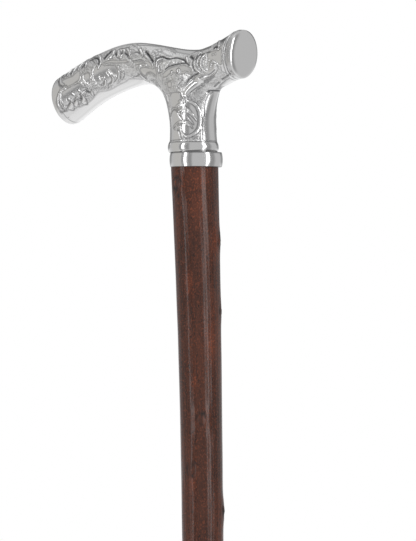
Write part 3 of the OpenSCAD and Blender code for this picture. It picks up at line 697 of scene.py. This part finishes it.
# Beads: radius, height, places
BEADS = [
    (0.55, 0.35, [(-57.8, 41.8), (-58.7, 40.3), (-59.4, 38.7), (-59.2, 37.2), (-60.3, 36.2), (-59.7, 35.3),
                  (-57.6, 34.7), (-55.5, 33.7), (-56.9, 33), (-54.7, 32.2), (-56.3, 41), (-53.6, 41.4),
                  (-53.5, 39.4), (-53.3, 38.2), (-53, 36), (-53.2, 34.6)]),
    (0.55, 0.35, [(-66, 23.4), (-64.2, 24), (-62.4, 24.9), (-58.2, 29), (-57, 28.3), (-58.4, 27),
                  (-62.5, 26.2)]),
    (0.6, 0.4, [(-47.5, 48.6), (-47.9, 47.2), (-48, 45.2), (-36.7, 46.4), (-29.2, 46.3), (-27.2, 46.5),
                (-28, 51.2), (-23.7, 50), (-30, 49.4), (-25.3, 46.6), (-33, 52)]),
    (0.6, 0.4, [(-47.6, 36.8), (-46.3, 36.9), (-47, 36.1), (-36.2, 42.8), (-31.8, 43), (-30.3, 42.4),
                (-28.8, 41.9), (-30.8, 37.2), (-20.5, 42), (-26.2, 40.5), (-26.3, 37.4)]),
    (0.5, 0.35, [(-51.7, 31.3), (-50.2, 31.9), (-48.7, 32), (-53, 33), (-51.3, 33.2), (-40, 34.8),
                 (-38.8, 35.5), (-47, 31.9), (-45, 32.4)]),
    (0.8, 0.45, [(-17.7, 47.3), (-16.6, 48.5), (-15.3, 47.2), (-16.6, 46.5), (-13.8, 47.2), (-15.1, 49.1),
                 (-17.6, 48.9)]),
    (0.6, 0.35, [(18.7, 42), (20.3, 40.7), (17, 43), (19.2, 45.6), (20.8, 45.8)]),
    (0.5, 0.25, [(-8.2, 35), (-9.8, 33), (-4, 28.9), (-1.6, 29.7)]),
    (0.55, 0.3, [(5.2, 25), (6.8, 24.8), (8.6, 23.6), (5.7, 28.6), (7.5, 28.4), (9.3, 28.2), (9.6, 25.3),
                 (4, 24.7), (2.6, 21.8), (-2.2, 21), (-5, 20.9), (1.7, 6.2), (3.2, 6), (6.7, 6.5),
                 (8.2, 6.7)]),
]

# Painted shade: soft dark patches in hollows and coves, standing for shade and dark reflections there: x, z,
# radius, darkness
SHADE_PATCHES = [
    (0.8, 34.8, 2.6, 0.5), (1.2, 31.6, 2.2, 0.5), (-1.5, 37, 2, 0.35),
    (-73.3, 21.3, 1.6, 0.7), (-55, 46.9, 1.8, 0.45), (-46, 48.4, 1.9, 0.6), (-40.2, 49.2, 1.6, 0.5),
    (-36.3, 48.8, 1.2, 0.4), (-33.2, 48, 1.4, 0.5), (-29, 48.4, 1.5, 0.4), (-21, 47.8, 1.8, 0.5),
    (5.6, 45, 1.8, 0.5), (23.2, 52.2, 3, 0.75), (24.6, 54.2, 3, 0.75), (23.4, 55.8, 2.6, 0.6),
    (9, 36.4, 1.6, 0.4),
]

# Stippled dots inside the nose scroll
DOTS = [(14.1, 41.8), (14, 40.8), (14.4, 39.8), (14.5, 42.8), (15.1, 43.7)]
DOT_R, DOT_DEPTH = 0.3, 0.2


def crown(share):
    """Rounded cross-section: (1 - share squared) squared up to share 1, then nothing."""
    return np.clip(1 - share**2, 0, None)**2


def foot_shade(away):
    """Painted shade with oxide: a dark line at the foot of a raised form, a bell curve of the distance from
    it.
    """
    return np.exp(-(away / FOOT_LINE)**2)


def lift(field, found, value):
    """Raises the field to the value at the found spots, where it is lower."""
    field[found] = np.maximum(field[found], value)


def inside(spots, corners):
    """True for the spots inside a closed outline, by the even and odd crossings of a line to the right."""
    x, z = spots.T
    a = np.asarray(corners, float)
    b = np.roll(a, -1, 0)
    within = np.zeros(len(spots), bool)
    for (ax, az), (bx, bz) in zip(a, b):
        crosses = (az > z) != (bz > z)
        within ^= crosses & (x < (bx - ax) * (z - az) / (bz - az + 1e-12) + ax)
    return within


class Chasing:
    """Height, dark tone (oxide with painted shade) and matting of the ornament at side-view spots, from its
    drawn lines.
    """

    def __init__(self, spots):
        self.spots = spots
        self.plain, self.raised, self.sunk, self.dark, self.foot, self.leafy = np.zeros((6, len(spots)))

    def near(self, line, reach):
        """Spots close to a line of points: their numbers, distance from it and share along it."""
        low, high = line.min(0) - reach, line.max(0) + reach
        found = np.flatnonzero(((self.spots > low) & (self.spots < high)).all(1))
        a, step = line[:-1], np.diff(line, axis=0)
        size = (step**2).sum(1)
        gap = self.spots[found][:, None] - a
        share = np.clip((gap * step).sum(-1) / size, 0, 1)
        away = np.linalg.norm(gap - share[..., None] * step, axis=-1)
        best = away.argmin(1)
        rows = np.arange(len(found))
        return found, away[rows, best], (best + share[rows, best]) / len(a)

    def drawn(self, points, reach):
        """near() for the smooth line through given points."""
        count = len(points)
        return self.near(along(points, np.linspace(0, count - 1, LINE_STEPS * count)), reach)

    def panel(self, corners, border=PANEL_BORDER):
        """Plain field with an eased edge: 1 inside its outline, 0 outside. A low border stands round it."""
        closed = np.vstack([corners, corners[:1]]).astype(float)
        field = inside(self.spots, corners).astype(float)
        found, away, _ = self.near(closed, 2 * PANEL_EDGE)
        within = field[found] > 0.5
        lift(self.raised, found, border * ~within * crown((away - PANEL_EDGE) / PANEL_EDGE))
        # Painted shade and oxide along the outer foot of the border
        lift(self.foot, found, 0.8 * foot_shade(away) * (border > 0))
        ease = 0.5 * eased(away / PANEL_EDGE)
        field[found] = np.where(within, 0.5 + ease, 0.5 - ease)
        return field

    def groove(self, width, depth, points):
        """Groove with soft sides, dark at its bottom with oxide and painted shade."""
        soft = SPREAD * width
        found, away, _ = self.drawn(points, soft)
        form = crown(away / soft)
        lift(self.sunk, found, depth * form)
        # Oxide and painted shade along the groove's bottom
        lift(self.dark, found, np.clip(1.6 * depth, 0, 0.9) * form)

    def raise_form(self, found, beyond, form, dark=1.0):
        """Raised form on the ground. Its foot, where the distance beyond its edge is about 0, stays dark with
        painted shade and oxide.
        """
        lift(self.raised, found, form)
        lift(self.foot, found, dark * foot_shade(beyond))

    def ridge(self, width, height, end, points):
        """Ridge with a rounded section that narrows along its line to the end share of its width."""
        width = SPREAD * width
        found, away, share = self.drawn(points, width + 2 * FOOT_LINE)
        taper = 1 - (1 - end) * share**2
        form = crown(away / (width * taper))
        self.raise_form(found, away - width * taper, RIDGE_LIFT * height * form * taper**0.5)

    def leaf(self, width, height, lobes, points):
        """Leaf that is widest near its root: lobes bulge along its edge, ribs run out to them from a vein."""
        found, away, share = self.drawn(points, width + 2 * FOOT_LINE)
        breadth = width * np.sin(np.pi * np.clip(share * 0.85 + 0.13, 0, 1))**0.7
        edge = breadth * (0.72 + 0.28 * np.abs(np.sin(np.pi * lobes * share)))
        q = away / edge
        ribs = 0.75 + 0.25 * np.cos(2 * np.pi * (lobes * share - 0.35 * q) - np.pi)
        vein = 1 - 0.45 * np.exp(-(away / 0.22)**2)
        self.raise_form(found, away - edge, LEAF_LIFT * height * crown(q)**0.6 * ribs * vein, 0.5)
        lift(self.leafy, found, crown(q)**0.5)

    def bead(self, radius, height, places):
        """Small round bosses, matted like the leaves."""
        for place in places:
            gap = self.spots - place
            found = np.flatnonzero((np.abs(gap) < radius + 2 * FOOT_LINE).all(1))
            away = np.hypot(*gap[found].T)
            self.raise_form(found, away - radius, BEAD_LIFT * height * crown(away / radius), 0.6)
            lift(self.leafy, found, crown(away / radius)**0.5)

    def draw(self):
        """All of the ornament: ground with plain fields let into it, then leaves, ridges and beads raised on
        it, then grooves cut into it, then soft patches of painted shade. Returns height, dark tone and
        matting."""
        for corners in PANELS:
            self.plain = np.maximum(self.plain, self.panel(corners))
        self.plain = np.maximum(self.plain, self.panel(UNDERSIDE, border=0))
        strokes = [(self.leaf, LEAVES), (self.ridge, RIDGES), (self.bead, BEADS), (self.groove, GROOVES)]
        for make, rows in strokes:
            for row in rows:
                make(*row)
        for x, z in DOTS:
            self.groove(DOT_R, DOT_DEPTH, [(x, z), (x + 0.05, z)])
        # Painted shade: soft dark patches added to the dark tone
        for x, z, radius, dark in SHADE_PATCHES:
            away = np.hypot(*(self.spots - (x, z)).T)
            self.dark = np.maximum(self.dark, dark * crown(away / radius))
        x, z = self.spots.T
        rough = 1 - self.plain
        grain = np.sin(3.1 * x + 1.3 * z + 1.5 * np.sin(0.9 * z))
        grain = grain * np.sin(2.7 * z - 1.1 * x + 1.7 * np.sin(0.7 * x))
        height = (GROUND + GROUND_GRAIN * grain) * rough + RELIEF * (self.raised - self.sunk)
        bare = np.clip(1 - self.raised / 0.25, 0, 1)
        matting = np.maximum(rough * (0.2 + 0.8 * bare), 0.8 * self.leafy)
        # Dark tone: groove bottoms, painted shade patches, foot lines on bare ground and a faint darkening of
        # the matted ground; oxide and painted shade together
        patina = np.maximum.reduce([self.dark, 0.7 * self.foot * bare, 0.04 * rough * bare])
        return height, patina, matting


def edge_fade():
    """Share of the relief that stands on each column of a strip: little at its edge, where the two halves
    meet, and all of it past the second angle of EDGE_FADE."""
    start, end = EDGE_FADE
    return EDGE_RELIEF + (1 - EDGE_RELIEF) * eased((np.linspace(0, 90, COLUMNS + 1) - start) / (end - start))


def silver_half(side):
    """One half of the handle: the three strips with the chased relief moved out along the section's normal,
    a plain inner wall one silver thickness in, and flat rims that join the two. Side 1 is the near half, -1
    its mirror image. Returns the shape, its dark tone (oxide with painted shade) and its matting."""
    points, quads, loops, patina, matting, ends = [], [], [], [], [], []
    outer_row, inner_row = np.arange(COLUMNS + 1), np.arange(INNER_COLUMNS + 1)
    count = 0
    for edge, crest in strips():
        skin, lean = strip_skin(edge, crest, COLUMNS)
        rows = len(skin)
        height, dark, dull = Chasing(skin[..., [0, 2]].reshape(-1, 2)).draw()
        height = height * np.tile(edge_fade(), rows)
        outer = skin.reshape(-1, 3) + height[:, None] * lean.reshape(-1, 3)
        keep = np.unique(np.append(np.arange(0, rows, INNER_STEP), rows - 1))
        inner_skin, inner_lean = strip_skin(edge[keep], crest[keep], INNER_COLUMNS)
        inner = (inner_skin - SILVER_T * inner_lean).reshape(-1, 3)
        points += [outer, inner]
        patina += [dark, np.zeros(len(inner))]
        matting += [dull, np.zeros(len(inner))]
        outer_start = count + outer_row.size * np.arange(rows)
        inner_start = count + len(outer) + inner_row.size * np.arange(len(keep))
        quads.append(lattice(rows, outer_row.size, outer_start[0]))
        quads.append(lattice(len(keep), inner_row.size, inner_start[0])[:, ::-1])
        for k, (a, b) in enumerate(zip(keep[:-1], keep[1:])):
            loops.append([*outer_start[a:b + 1], inner_start[k + 1], inner_start[k]])
        ends.append([(outer_start[r] + outer_row, inner_start[r] + inner_row) for r in (0, -1)])
        count += len(outer) + len(inner)
    for (_, (last_out, last_in)), ((first_out, first_in), _) in zip(ends, ends[1:] + ends[:1]):
        loops.append([*last_out, *first_out[::-1], *first_in, *last_in[::-1]])
    merged, faces, first = welded(np.vstack(points) * [1, side, 1], np.vstack(quads), loops)
    return (merged + SEAT, faces), np.concatenate(patina)[first], np.concatenate(matting)[first]


for half_name, side in [("near", 1), ("far", -1)]:
    half, patina, matting = silver_half(side)
    piece("silver_half_" + half_name, half, silver, "handle_shell_" + half_name, "silver", crease=60,
          patina=patina, matting=matting)


# Caps and bands

CAP_SIDES = 160
POLE_R = 0.4
NOSE_DEPTH, NOSE_SIDE, NOSE_EDGE = 3.2, 1.6, 0.3
NOSE_DISH, NOSE_PILLOW = 0.3, 0.95
NOSE_RINGS = 61
HEEL_SIDE, HEEL_DOME, HEEL_FULLNESS = 0.2, 3.9, 0.74
HEEL_RINGS = 30


def capped(profile):
    """Profile that ends in a small flat instead of a point on its axis."""
    return np.stack([np.maximum(profile[:, 0], POLE_R), profile[:, 1]], -1)


def nose_profile():
    """Side, turned edge and face of the nose disc. Height of the face = depth - dish times q squared - pillow
    times q to the tenth, where q is the share of its radius: nearly flat, and rolled over at its rim."""
    face_r = NOSE_R - NOSE_EDGE / 3
    q = 1 - np.linspace(0, 0.98, NOSE_RINGS)**1.5
    face = np.stack([face_r * q, NOSE_DEPTH - NOSE_DISH * q**2 - NOSE_PILLOW * q**10], -1)
    edge = arc((NOSE_R - NOSE_EDGE, NOSE_SIDE), (NOSE_EDGE, NOSE_EDGE), 0, 50, 6)
    return capped(np.vstack([[(NOSE_R - SILVER_T, 0), (NOSE_R, 0)], edge, face]))


def heel_profile():
    """Side and dome of the heel cap. The dome is fuller than an ellipse: its radius and height go as the
    cosine and the sine of its angle, each to a power below 1."""
    turn = np.radians(np.linspace(2, 89.5, HEEL_RINGS))
    radius = HEEL_R * np.cos(turn)**HEEL_FULLNESS
    height = HEEL_SIDE + HEEL_DOME * np.sin(turn)**HEEL_FULLNESS
    side = [(HEEL_R - SILVER_T, 0), (HEEL_R, 0), (HEEL_R, HEEL_SIDE)]
    return capped(np.vstack([side, np.stack([radius, height], -1)]))


def cap(profile, station, tilt, facing):
    """Cap turned about the tilted bar's direction at a station. Facing 1 looks to the nose's side, -1 to the
    heel's."""
    lean = math.radians(tilt)
    axis = (facing * math.cos(lean), 0, facing * math.sin(lean))
    return turned(profile, CAP_SIDES, SEAT + np.array([station[0], 0, station[1]]), axis)


# Painted shade: the disc's side and turned edge, and the first rings of its face, are made a little dark
nose_line = nose_profile()
nose_edge_shade = np.zeros(len(nose_line))
nose_edge_shade[1:9] = 0.25
nose_edge_shade[9:11] = 0.2
piece("nose_disc", cap(nose_line, NOSE, NOSE_TILT, 1), silver, "nose_cap", "silver",
      patina=np.repeat(nose_edge_shade, CAP_SIDES))
heel_points, heel_faces = cap(heel_profile(), HEEL, HEEL_TILT, -1)
heel_points = heel_points * [1, HEEL_HALF / HEEL_R, 1]
piece("heel_dome", (heel_points, heel_faces), silver, "heel_cap", "silver")

BAND_SIDES, BAND_RINGS, BAND_EDGE = 180, 25, 0.25
BAND_EDGE_SHADE = 0.7
RIM_BORE, RIM_R, RIM_SWELL = NECK_R + 0.05, NECK_R + 0.4, 0.55
COLLAR_BORE, COLLAR_R, COLLAR_SWELL, COLLAR_H = 10.05, 12.3, 0.4, 7
STICK_TOP = stick_high.z / MM


def band(name, node, seat, bore, end_r, swell, height):
    """Round band: a bore, flat ends with a small edge, and an outside that swells in a shallow arc. Its very
    edges are darkened with painted shade."""
    share = np.linspace(-1, 1, BAND_RINGS)
    outside = np.stack([end_r + swell * (1 - share**2), height / 2 + (height / 2 - BAND_EDGE) * share], -1)
    edge_r, edge = end_r - BAND_EDGE, (BAND_EDGE, BAND_EDGE)
    low = arc((edge_r, BAND_EDGE), edge, -90, -15, 5)
    high = arc((edge_r, height - BAND_EDGE), edge, 15, 90, 5)
    profile = np.vstack([[(bore, 0)], low, outside, high, [(bore, height)]])
    # Painted shade on the rings of the lower and of the upper edge, and half as much on the ring next to each
    dark = np.zeros(len(profile))
    dark[:6] = dark[-8:] = BAND_EDGE_SHADE
    dark[6] = dark[-9] = BAND_EDGE_SHADE / 2
    piece(name, turned(profile, BAND_SIDES, seat, ring=True), silver, node, "silver",
          patina=np.repeat(dark, BAND_SIDES))


band("rim_ring", "rim_band", SEAT, RIM_BORE, RIM_R, RIM_SWELL, RIM_H)
band("collar_ring", "shaft_collar", (0, 0, STICK_TOP - COLLAR_H), COLLAR_BORE, COLLAR_R, COLLAR_SWELL,
     COLLAR_H)


# Stick

STICK_TIP = stick_low.z / MM
STICK_D, STICK_LOW_D, TAPER = 22, 17.6, 3.2
STICK_BOW, STICK_WAVER, BOW_HEADING, BARK_SHIFT = 6, 0.4, 36, 0.7
OVAL, OVAL_HEADING = 0.5, 105
WAVE, WAVE_LENGTH = 0.18, 290
FURROW, EYE_DEPTH, HEART_HEIGHT, PIT_DEPTH = 0.05, 0.28, 0.1, 0.15
BARK_LOW, BARK_TOP = 45, STICK_TOP - COLLAR_H
TIP_R, TIP_EDGE, SPIGOT_R = 8, 0.5, 10
KNOT_LENGTH, KNOT_WIDTH = 11, 8
# Knots: depth below the collar's top, heading round the stick in degrees, how proud they stand
KNOTS = [(15, -102, 0.8), (42, 22, 1), (76, 30, 0.5), (104, 150, 0.9), (127, -54, 0.9), (151, -84, 0.5),
         (171, 28, 0.9), (206, 170, 1), (238, -70, 0.8), (271, 60, 1.3), (309, -160, 0.9), (341, -20, 1),
         (378, 110, 1.2), (415, -110, 0.8), (452, 15, 1), (490, 140, 1.1), (527, -60, 1), (566, 80, 0.8),
         (603, -150, 1), (640, -5, 0.9), (679, 120, 0.9), (716, -85, 0.8), (752, 40, 0.7), (785, -170, 0.6)]
# Rust-coloured patches: depth, heading, length along the stick, width round it
RUST = [(10, -45, 16, 12), (15, -100, 9, 8), (26, -50, 14, 7), (43, 10, 14, 7), (110, -69, 8, 2.4),
        (127, -52, 8, 7), (158, -80, 8, 3), (62, -78, 12, 4), (90, -20, 20, 6), (200, 100, 20, 8),
        (330, -60, 24, 8), (480, 60, 22, 8), (620, -40, 20, 7)]
# Dark pits: depth, heading, length along the stick, width round it
PITS = [(12.6, -100, 3, 3.6), (17.4, -105, 4, 4), (20.6, -97, 2.4, 2.2), (14.6, -92, 2, 2.4),
        (9.5, -57, 1.6, 1.6), (40, 24, 4, 3), (44.5, 28, 5, 3), (124.5, -50, 2.6, 4), (128.5, -57, 2, 2.4),
        (171, 26, 5, 4), (206, 168, 4, 4), (271, 62, 5, 4), (341, -18, 4, 4), (452, 16, 4, 4),
        (527, -58, 4, 4), (640, -4, 4, 4)]
SIDES = 200
RINGS = 460


def from_mark(depth, heading, low, turn, length, width):
    """Distance from a mark's middle along the stick and round it, in its half lengths and half widths."""
    round_gap = (heading - turn + 180) % 360 - 180
    return (depth - low) / (length / 2), np.radians(round_gap) * STICK_D / width


def bark_surface(share, z, heading):
    """Radius, scars and rust of the bark. Radius = half the tapered thickness + a slow two-sided wave + an
    oval + shallow furrows + a swelling with a scarred eye at each knot - pits."""
    depth = STICK_TOP - z
    radius = (STICK_LOW_D + (STICK_D - STICK_LOW_D) * share**TAPER) / 2
    radius = radius + WAVE * np.sin(np.radians(2 * heading + 360 * z / WAVE_LENGTH))
    radius = radius + OVAL * np.cos(np.radians(2 * (heading + OVAL_HEADING)))
    furrow = np.sin(np.radians(17 * heading + 200 * np.sin(z / 31)))
    furrow = furrow * np.sin(np.radians(11 * heading + 160 * np.sin(z / 23 + 1)))
    radius = radius + FURROW * furrow
    scar, rust = np.zeros((2, *radius.shape))
    for low, turn, proud in KNOTS:
        along_it, round_it = from_mark(depth, heading, low, turn, KNOT_LENGTH, KNOT_WIDTH)
        gap = np.hypot(along_it, round_it)
        eye = np.exp(-((gap - 0.55) / 0.16)**2)
        heart = np.exp(-(gap / 0.3)**2)
        radius = radius + proud * np.exp(-gap**2) - EYE_DEPTH * eye + HEART_HEIGHT * heart
        patchy = 0.55 + 0.45 * np.sin(3 * np.arctan2(round_it, along_it) + low)
        scar = np.maximum(scar, np.maximum(0.9 * eye * patchy, 0.25 * heart))
    for low, turn, length, width in PITS:
        along_it, round_it = from_mark(depth, heading, low, turn, length, width)
        ragged = 1 + 0.35 * np.sin(5 * np.arctan2(round_it, along_it) + 3 * low)
        pit = np.exp(-(np.hypot(along_it, round_it) / ragged)**4)
        radius = radius - PIT_DEPTH * pit
        scar = np.maximum(scar, 0.95 * pit)
    for mark in RUST:
        along_it, round_it = from_mark(depth, heading, *mark)
        rust = np.maximum(rust, np.exp(-along_it**2 - round_it**2))
    return radius, scar, rust


def plain_rings(profile, spin):
    """Round rings about the middle axis, one for each (radius, height) pair."""
    r, h = np.asarray(profile, float).T[:, :, None]
    return np.stack([r * np.cos(spin), r * np.sin(spin), h + 0 * spin], -1)


def bark_stick():
    """The bark's rings on a bowed line: the bow is half a sine wave, with a small quick waver and a shift
    towards the top. A turned tip and spigot close the ends. Returns the shape, its scars and its rust."""
    z = np.linspace(BARK_LOW, BARK_TOP, RINGS)[:, None]
    heading = (360 * np.arange(SIDES) / SIDES)[None]
    share = (z - BARK_LOW) / (BARK_TOP - BARK_LOW)
    radius, scar, rust = bark_surface(share, z, heading)
    turn = np.pi * (1 - share)
    bow = STICK_BOW * np.sin(turn) + STICK_WAVER * np.sin(5 * turn) - BARK_SHIFT * share
    bow_turn, spin = math.radians(BOW_HEADING), np.radians(heading)
    x = bow * math.cos(bow_turn) + radius * np.cos(spin)
    y = bow * math.sin(bow_turn) + radius * np.sin(spin)
    rings = np.stack([x, y, np.broadcast_to(z, x.shape)], -1)
    tip = [(TIP_R - TIP_EDGE, STICK_TIP), (TIP_R, STICK_TIP + TIP_EDGE), (TIP_R, BARK_LOW)]
    spigot = [(SPIGOT_R, BARK_TOP), (SPIGOT_R, STICK_TOP)]
    points = np.concatenate([plain_rings(tip, spin), rings, plain_rings(spigot, spin)])
    bare = ((len(tip), len(spigot)), (0, 0))
    shape = points.reshape(-1, 3), tube(len(points), SIDES)
    return shape, np.pad(scar, bare).ravel(), np.pad(rust, bare).ravel()


stick, scar, rust = bark_stick()
piece("bark_stick", stick, bark, "shaft", "bark", crease=50, scar=scar, rust=rust)


# Rubber foot

FOOT_R, FOOT_H, FERRULE_H, SOLE = 20, 6, 42, 9
SOCKET_R, SLEEVE_R, EDGE = 8.05, 11.65, 1.2
RING_R, RING_SUNK, RING_PLACES = 1.2, 0.6, (36, 30)
GROOVE_DEPTH, GROOVE_W, GROOVE_PLACES = 1.2, 1.8, (15.75, 11.25, 6.75)
HUB_R = 0.5
FOOT_SIDES = 96


def foot_profile():
    """Outline of the rubber foot from the socket's floor up its inside, over the lip, down the ringed
    sleeve and flare, round the foot's edge and across the grooved sole."""
    edge, flare = (EDGE, EDGE), FOOT_R - SLEEVE_R
    line = [[(HUB_R, SOLE), (SOCKET_R - 0.05, SOLE), (SOCKET_R, SOLE + 0.05), (SOCKET_R, FERRULE_H - 0.8),
             (SOCKET_R + 0.3, FERRULE_H - 0.1), (SOCKET_R + 0.9, FERRULE_H)],
            arc((SLEEVE_R - EDGE, FERRULE_H - EDGE), edge, 90, 5, 6)]
    line += [arc((SLEEVE_R - RING_SUNK, height), (RING_R, RING_R), 58, -58, 10) for height in RING_PLACES]
    line += [arc((FOOT_R, FOOT_H + 1.5 * flare), (flare, 1.5 * flare), 180, 262, 10),
             arc((FOOT_R - EDGE, FOOT_H - EDGE), edge, 85, 0, 6),
             arc((FOOT_R - EDGE, EDGE), edge, 0, -90, 6)]
    for middle in GROOVE_PLACES:
        a, b = middle + GROOVE_W / 2, middle - GROOVE_W / 2
        line += [[(a, 0), (a - 0.1, 0.1), (a - 0.15, GROOVE_DEPTH)],
                 [(b + 0.15, GROOVE_DEPTH), (b + 0.1, 0.1), (b, 0)]]
    return np.vstack([*line, [(HUB_R, 0)]])


piece("rubber_foot", turned(foot_profile(), FOOT_SIDES), rubber, "rubber_ferrule", "rubber", crease=40)


# Camera: its turn in degrees from square to the handle, the rest in metres

CAMERA_TURN = 36
CAMERA_BACK, CAMERA_RIGHT, CAMERA_DROP = 1.5, 0.00567, 0.0564
IMAGE_HEIGHT = 0.2586
SENSOR = 36
camera_turn = math.radians(CAMERA_TURN)
right = np.array([math.cos(camera_turn), math.sin(camera_turn), 0])
ahead = np.array([-math.sin(camera_turn), math.cos(camera_turn), 0])
camera_data = bpy.data.cameras.new("camera")
camera_data.sensor_width = SENSOR
camera_data.lens = SENSOR * CAMERA_BACK / IMAGE_HEIGHT
camera_data.clip_end = 100
camera = bpy.data.objects.new("camera", camera_data)
camera.location = right * CAMERA_RIGHT - ahead * CAMERA_BACK + [0, 0, STICK_TOP * MM - CAMERA_DROP]
camera.rotation_euler = (math.pi / 2, 0, camera_turn)
bpy.context.scene.collection.objects.link(camera)
bpy.context.scene.camera = camera
bpy.context.scene.view_settings.view_transform = "Standard"


# Studio: white world and floor, a grey tent that the silver mirrors, and soft lamps; sizes in metres

WHITE = (1, 1, 1, 1)
STAGE_SIDES = 96
FLOOR_R = 0.75
TENT_R, TENT_HEIGHT = 2.6, 0.88
CAMERA_HEADING = CAMERA_TURN - 90
GREY, DIM, LAMP, TABLE = 0.5, 0.21, 3.6, 0.72
LAMP_AWAY, LAMP_TALL = 1.8, 2.2


def seen_white(f):
    """1 for rays from the camera and for mirror and clear rays, which see the white of the studio."""
    camera_ray, mirror_ray, clear_ray = [f.add("LightPath", output="Is " + kind + " Ray")
                                         for kind in ("Camera", "Glossy", "Transmission")]
    return (camera_ray + mirror_ray + clear_ray) > 0.5


def white_world():
    """World that lights the stick softly and is seen as plain white."""
    f = Finish(bpy.data.worlds.new("white_studio"))
    lit = f.add("Background", None, {"Color": WHITE, "Strength": 0.62})
    seen = f.add("Background", None, {"Color": WHITE, "Strength": 1.0})
    return f.show(f.add("MixShader", None, {0: seen_white(f), 1: lit, 2: seen}))


def white_paper():
    """Paper that takes the stick's shadow near its middle and is seen as white towards its edge."""
    f = new_finish("white_paper")
    paper = f.add("BsdfDiffuse", None, {"Color": (0.85, 0.85, 0.85, 1)})
    glow = f.add("Emission", None, {"Color": WHITE, "Strength": 1.0})
    spot = f.add("TexCoord", output="Object")
    from_middle = f.add("VectorMath", {"operation": "LENGTH"}, {0: spot}, "Value")
    whiteness = seen_white(f) * (0.7 + 0.3 * from_middle.between(0.05, 0.9 * FLOOR_R))
    return f.show(f.add("MixShader", None, {0: whiteness, 1: paper, 2: glow}))


def grey_tent():
    """Glow of the tent by heading (swing, in degrees from the camera) and height (in radii). A grey belt has
    darker gaps, two upright lamps and a dark level part behind the stick. Above it is a grey roof that is
    bright at its top, below it a pale table that rises higher behind the stick."""
    f = new_finish("grey_tent")
    spot = f.add("TexCoord", output="Object")
    turn = math.radians(CAMERA_HEADING)
    c, s = math.cos(turn) / TENT_R, math.sin(turn) / TENT_R
    facing = f.add("VectorMath", {"operation": "DOT_PRODUCT"}, {0: spot, 1: (c, s, 0)}, "Value")
    sideways = f.add("VectorMath", {"operation": "DOT_PRODUCT"}, {0: spot, 1: (-s, c, 0)}, "Value")
    swing = f.add("Math", {"operation": "ARCTAN2"}, {0: sideways, 1: facing}) * (180 / math.pi)
    height = (f.add("SeparateXYZ", None, {0: spot}, "Z") - TENT_HEIGHT) * (1 / TENT_R)

    def stripe(rise_from, rise_to, fall_from, fall_to):
        """1 between two headings of the tent, with an eased start and end."""
        return swing.between(rise_from, rise_to) * (1 - swing.between(fall_from, fall_to))

    gaps = stripe(-70, -66, -60, -57) + stripe(-42, -34, -25, -14) + stripe(62, 67, 80, 100)
    left_lamp = height.between(-0.45, -0.3) * stripe(-56, -52, -48, -43)
    leaning = swing + 9 * (1 - height.between(-0.4, -0.1))
    right_lamp = height.between(-0.6, -0.45) * swing.between(45, 50) * (1 - leaning.between(58, 63))
    lamps = left_lamp * (1 - height.between(0.5, 0.65)) + right_lamp * (1 - height.between(0.62, 0.78))
    level_rear = (1 - height.between(0.46, 0.6)) * abs(swing).between(128, 142)
    rear_shade = level_rear * (0.19 + 0.13 * height.between(0.08, 0.2))
    belt = GREY - DIM * gaps - rear_shade + (LAMP - GREY) * lamps
    over = height.between(0.5, 0.75)
    upper = belt * (1 - over) + (GREY + 0.6 * height.between(0.84, 0.93)) * over
    far_side = abs(swing).between(110, 165)
    under_near = 1 - height.between(-0.85, -0.4)
    under_rear = 1 - height.between(-0.12, -0.02)
    under = under_near * (1 - far_side) + under_rear * far_side
    fold = height.between(-0.82, -0.72) * (1 - height.between(-0.64, -0.52))
    table = TABLE + far_side * (0.1 + 0.1 * height.between(-0.92, -0.3) - 0.08 * fold)
    level = upper * (1 - under) + table * under
    left_wall = stripe(-130, -100, -76, -66) * (1 - under) * (1 - over)
    cool, warm = (0.995 * LAMP, LAMP, 1.01 * LAMP, 1), (1.01 * LAMP, LAMP, 0.975 * LAMP, 1)
    tone = f.blend((0, 0, 0, 1), f.blend(cool, warm, left_wall), level * (1 / LAMP))
    return f.show(f.add("Emission", None, {"Color": tone, "Strength": 1.0}))


def stage_piece(name, profile, material):
    """Turned piece of the studio, with its profile in metres. It isn't part of the stick."""
    made = mesh_object(name, *turned(profile, STAGE_SIDES), material)
    return made


def softbox(name, heading, width, power):
    """Tall area lamp that faces the stick from a heading round it. Mirror rays don't see it, because the tent
    has lamp streaks of its own."""
    lamp = bpy.data.lights.new(name, "AREA")
    lamp.shape = "RECTANGLE"
    lamp.size = width
    lamp.size_y = LAMP_TALL
    lamp.energy = power
    turn = math.radians(heading)
    made = bpy.data.objects.new(name, lamp)
    made.location = (LAMP_AWAY * math.cos(turn), LAMP_AWAY * math.sin(turn), TENT_HEIGHT)
    made.rotation_euler = (math.pi / 2, 0, turn + math.pi / 2)
    made.visible_camera = False
    made.visible_glossy = False
    bpy.context.scene.collection.objects.link(made)


bpy.context.scene.world = white_world()
paper_floor = stage_piece("paper_floor", [(FLOOR_R, -0.0005), (0.01, -0.0004)], white_paper())
paper_floor.visible_glossy = False
polar = np.radians(np.linspace(-89, 89, 61))
tent_profile = np.stack([TENT_R * np.cos(polar), TENT_HEIGHT + TENT_R * np.sin(polar)], -1)
tent = stage_piece("grey_tent", tent_profile, grey_tent())
tent.visible_camera = False
tent.visible_diffuse = False
tent.visible_transmission = False
tent.visible_shadow = False
softbox("left_softbox", CAMERA_HEADING - 50, 0.4, 8.5)
softbox("right_softbox", CAMERA_HEADING + 54, 0.5, 10.5)
softbox("rear_softbox", CAMERA_HEADING + 180, 0.35, 5)
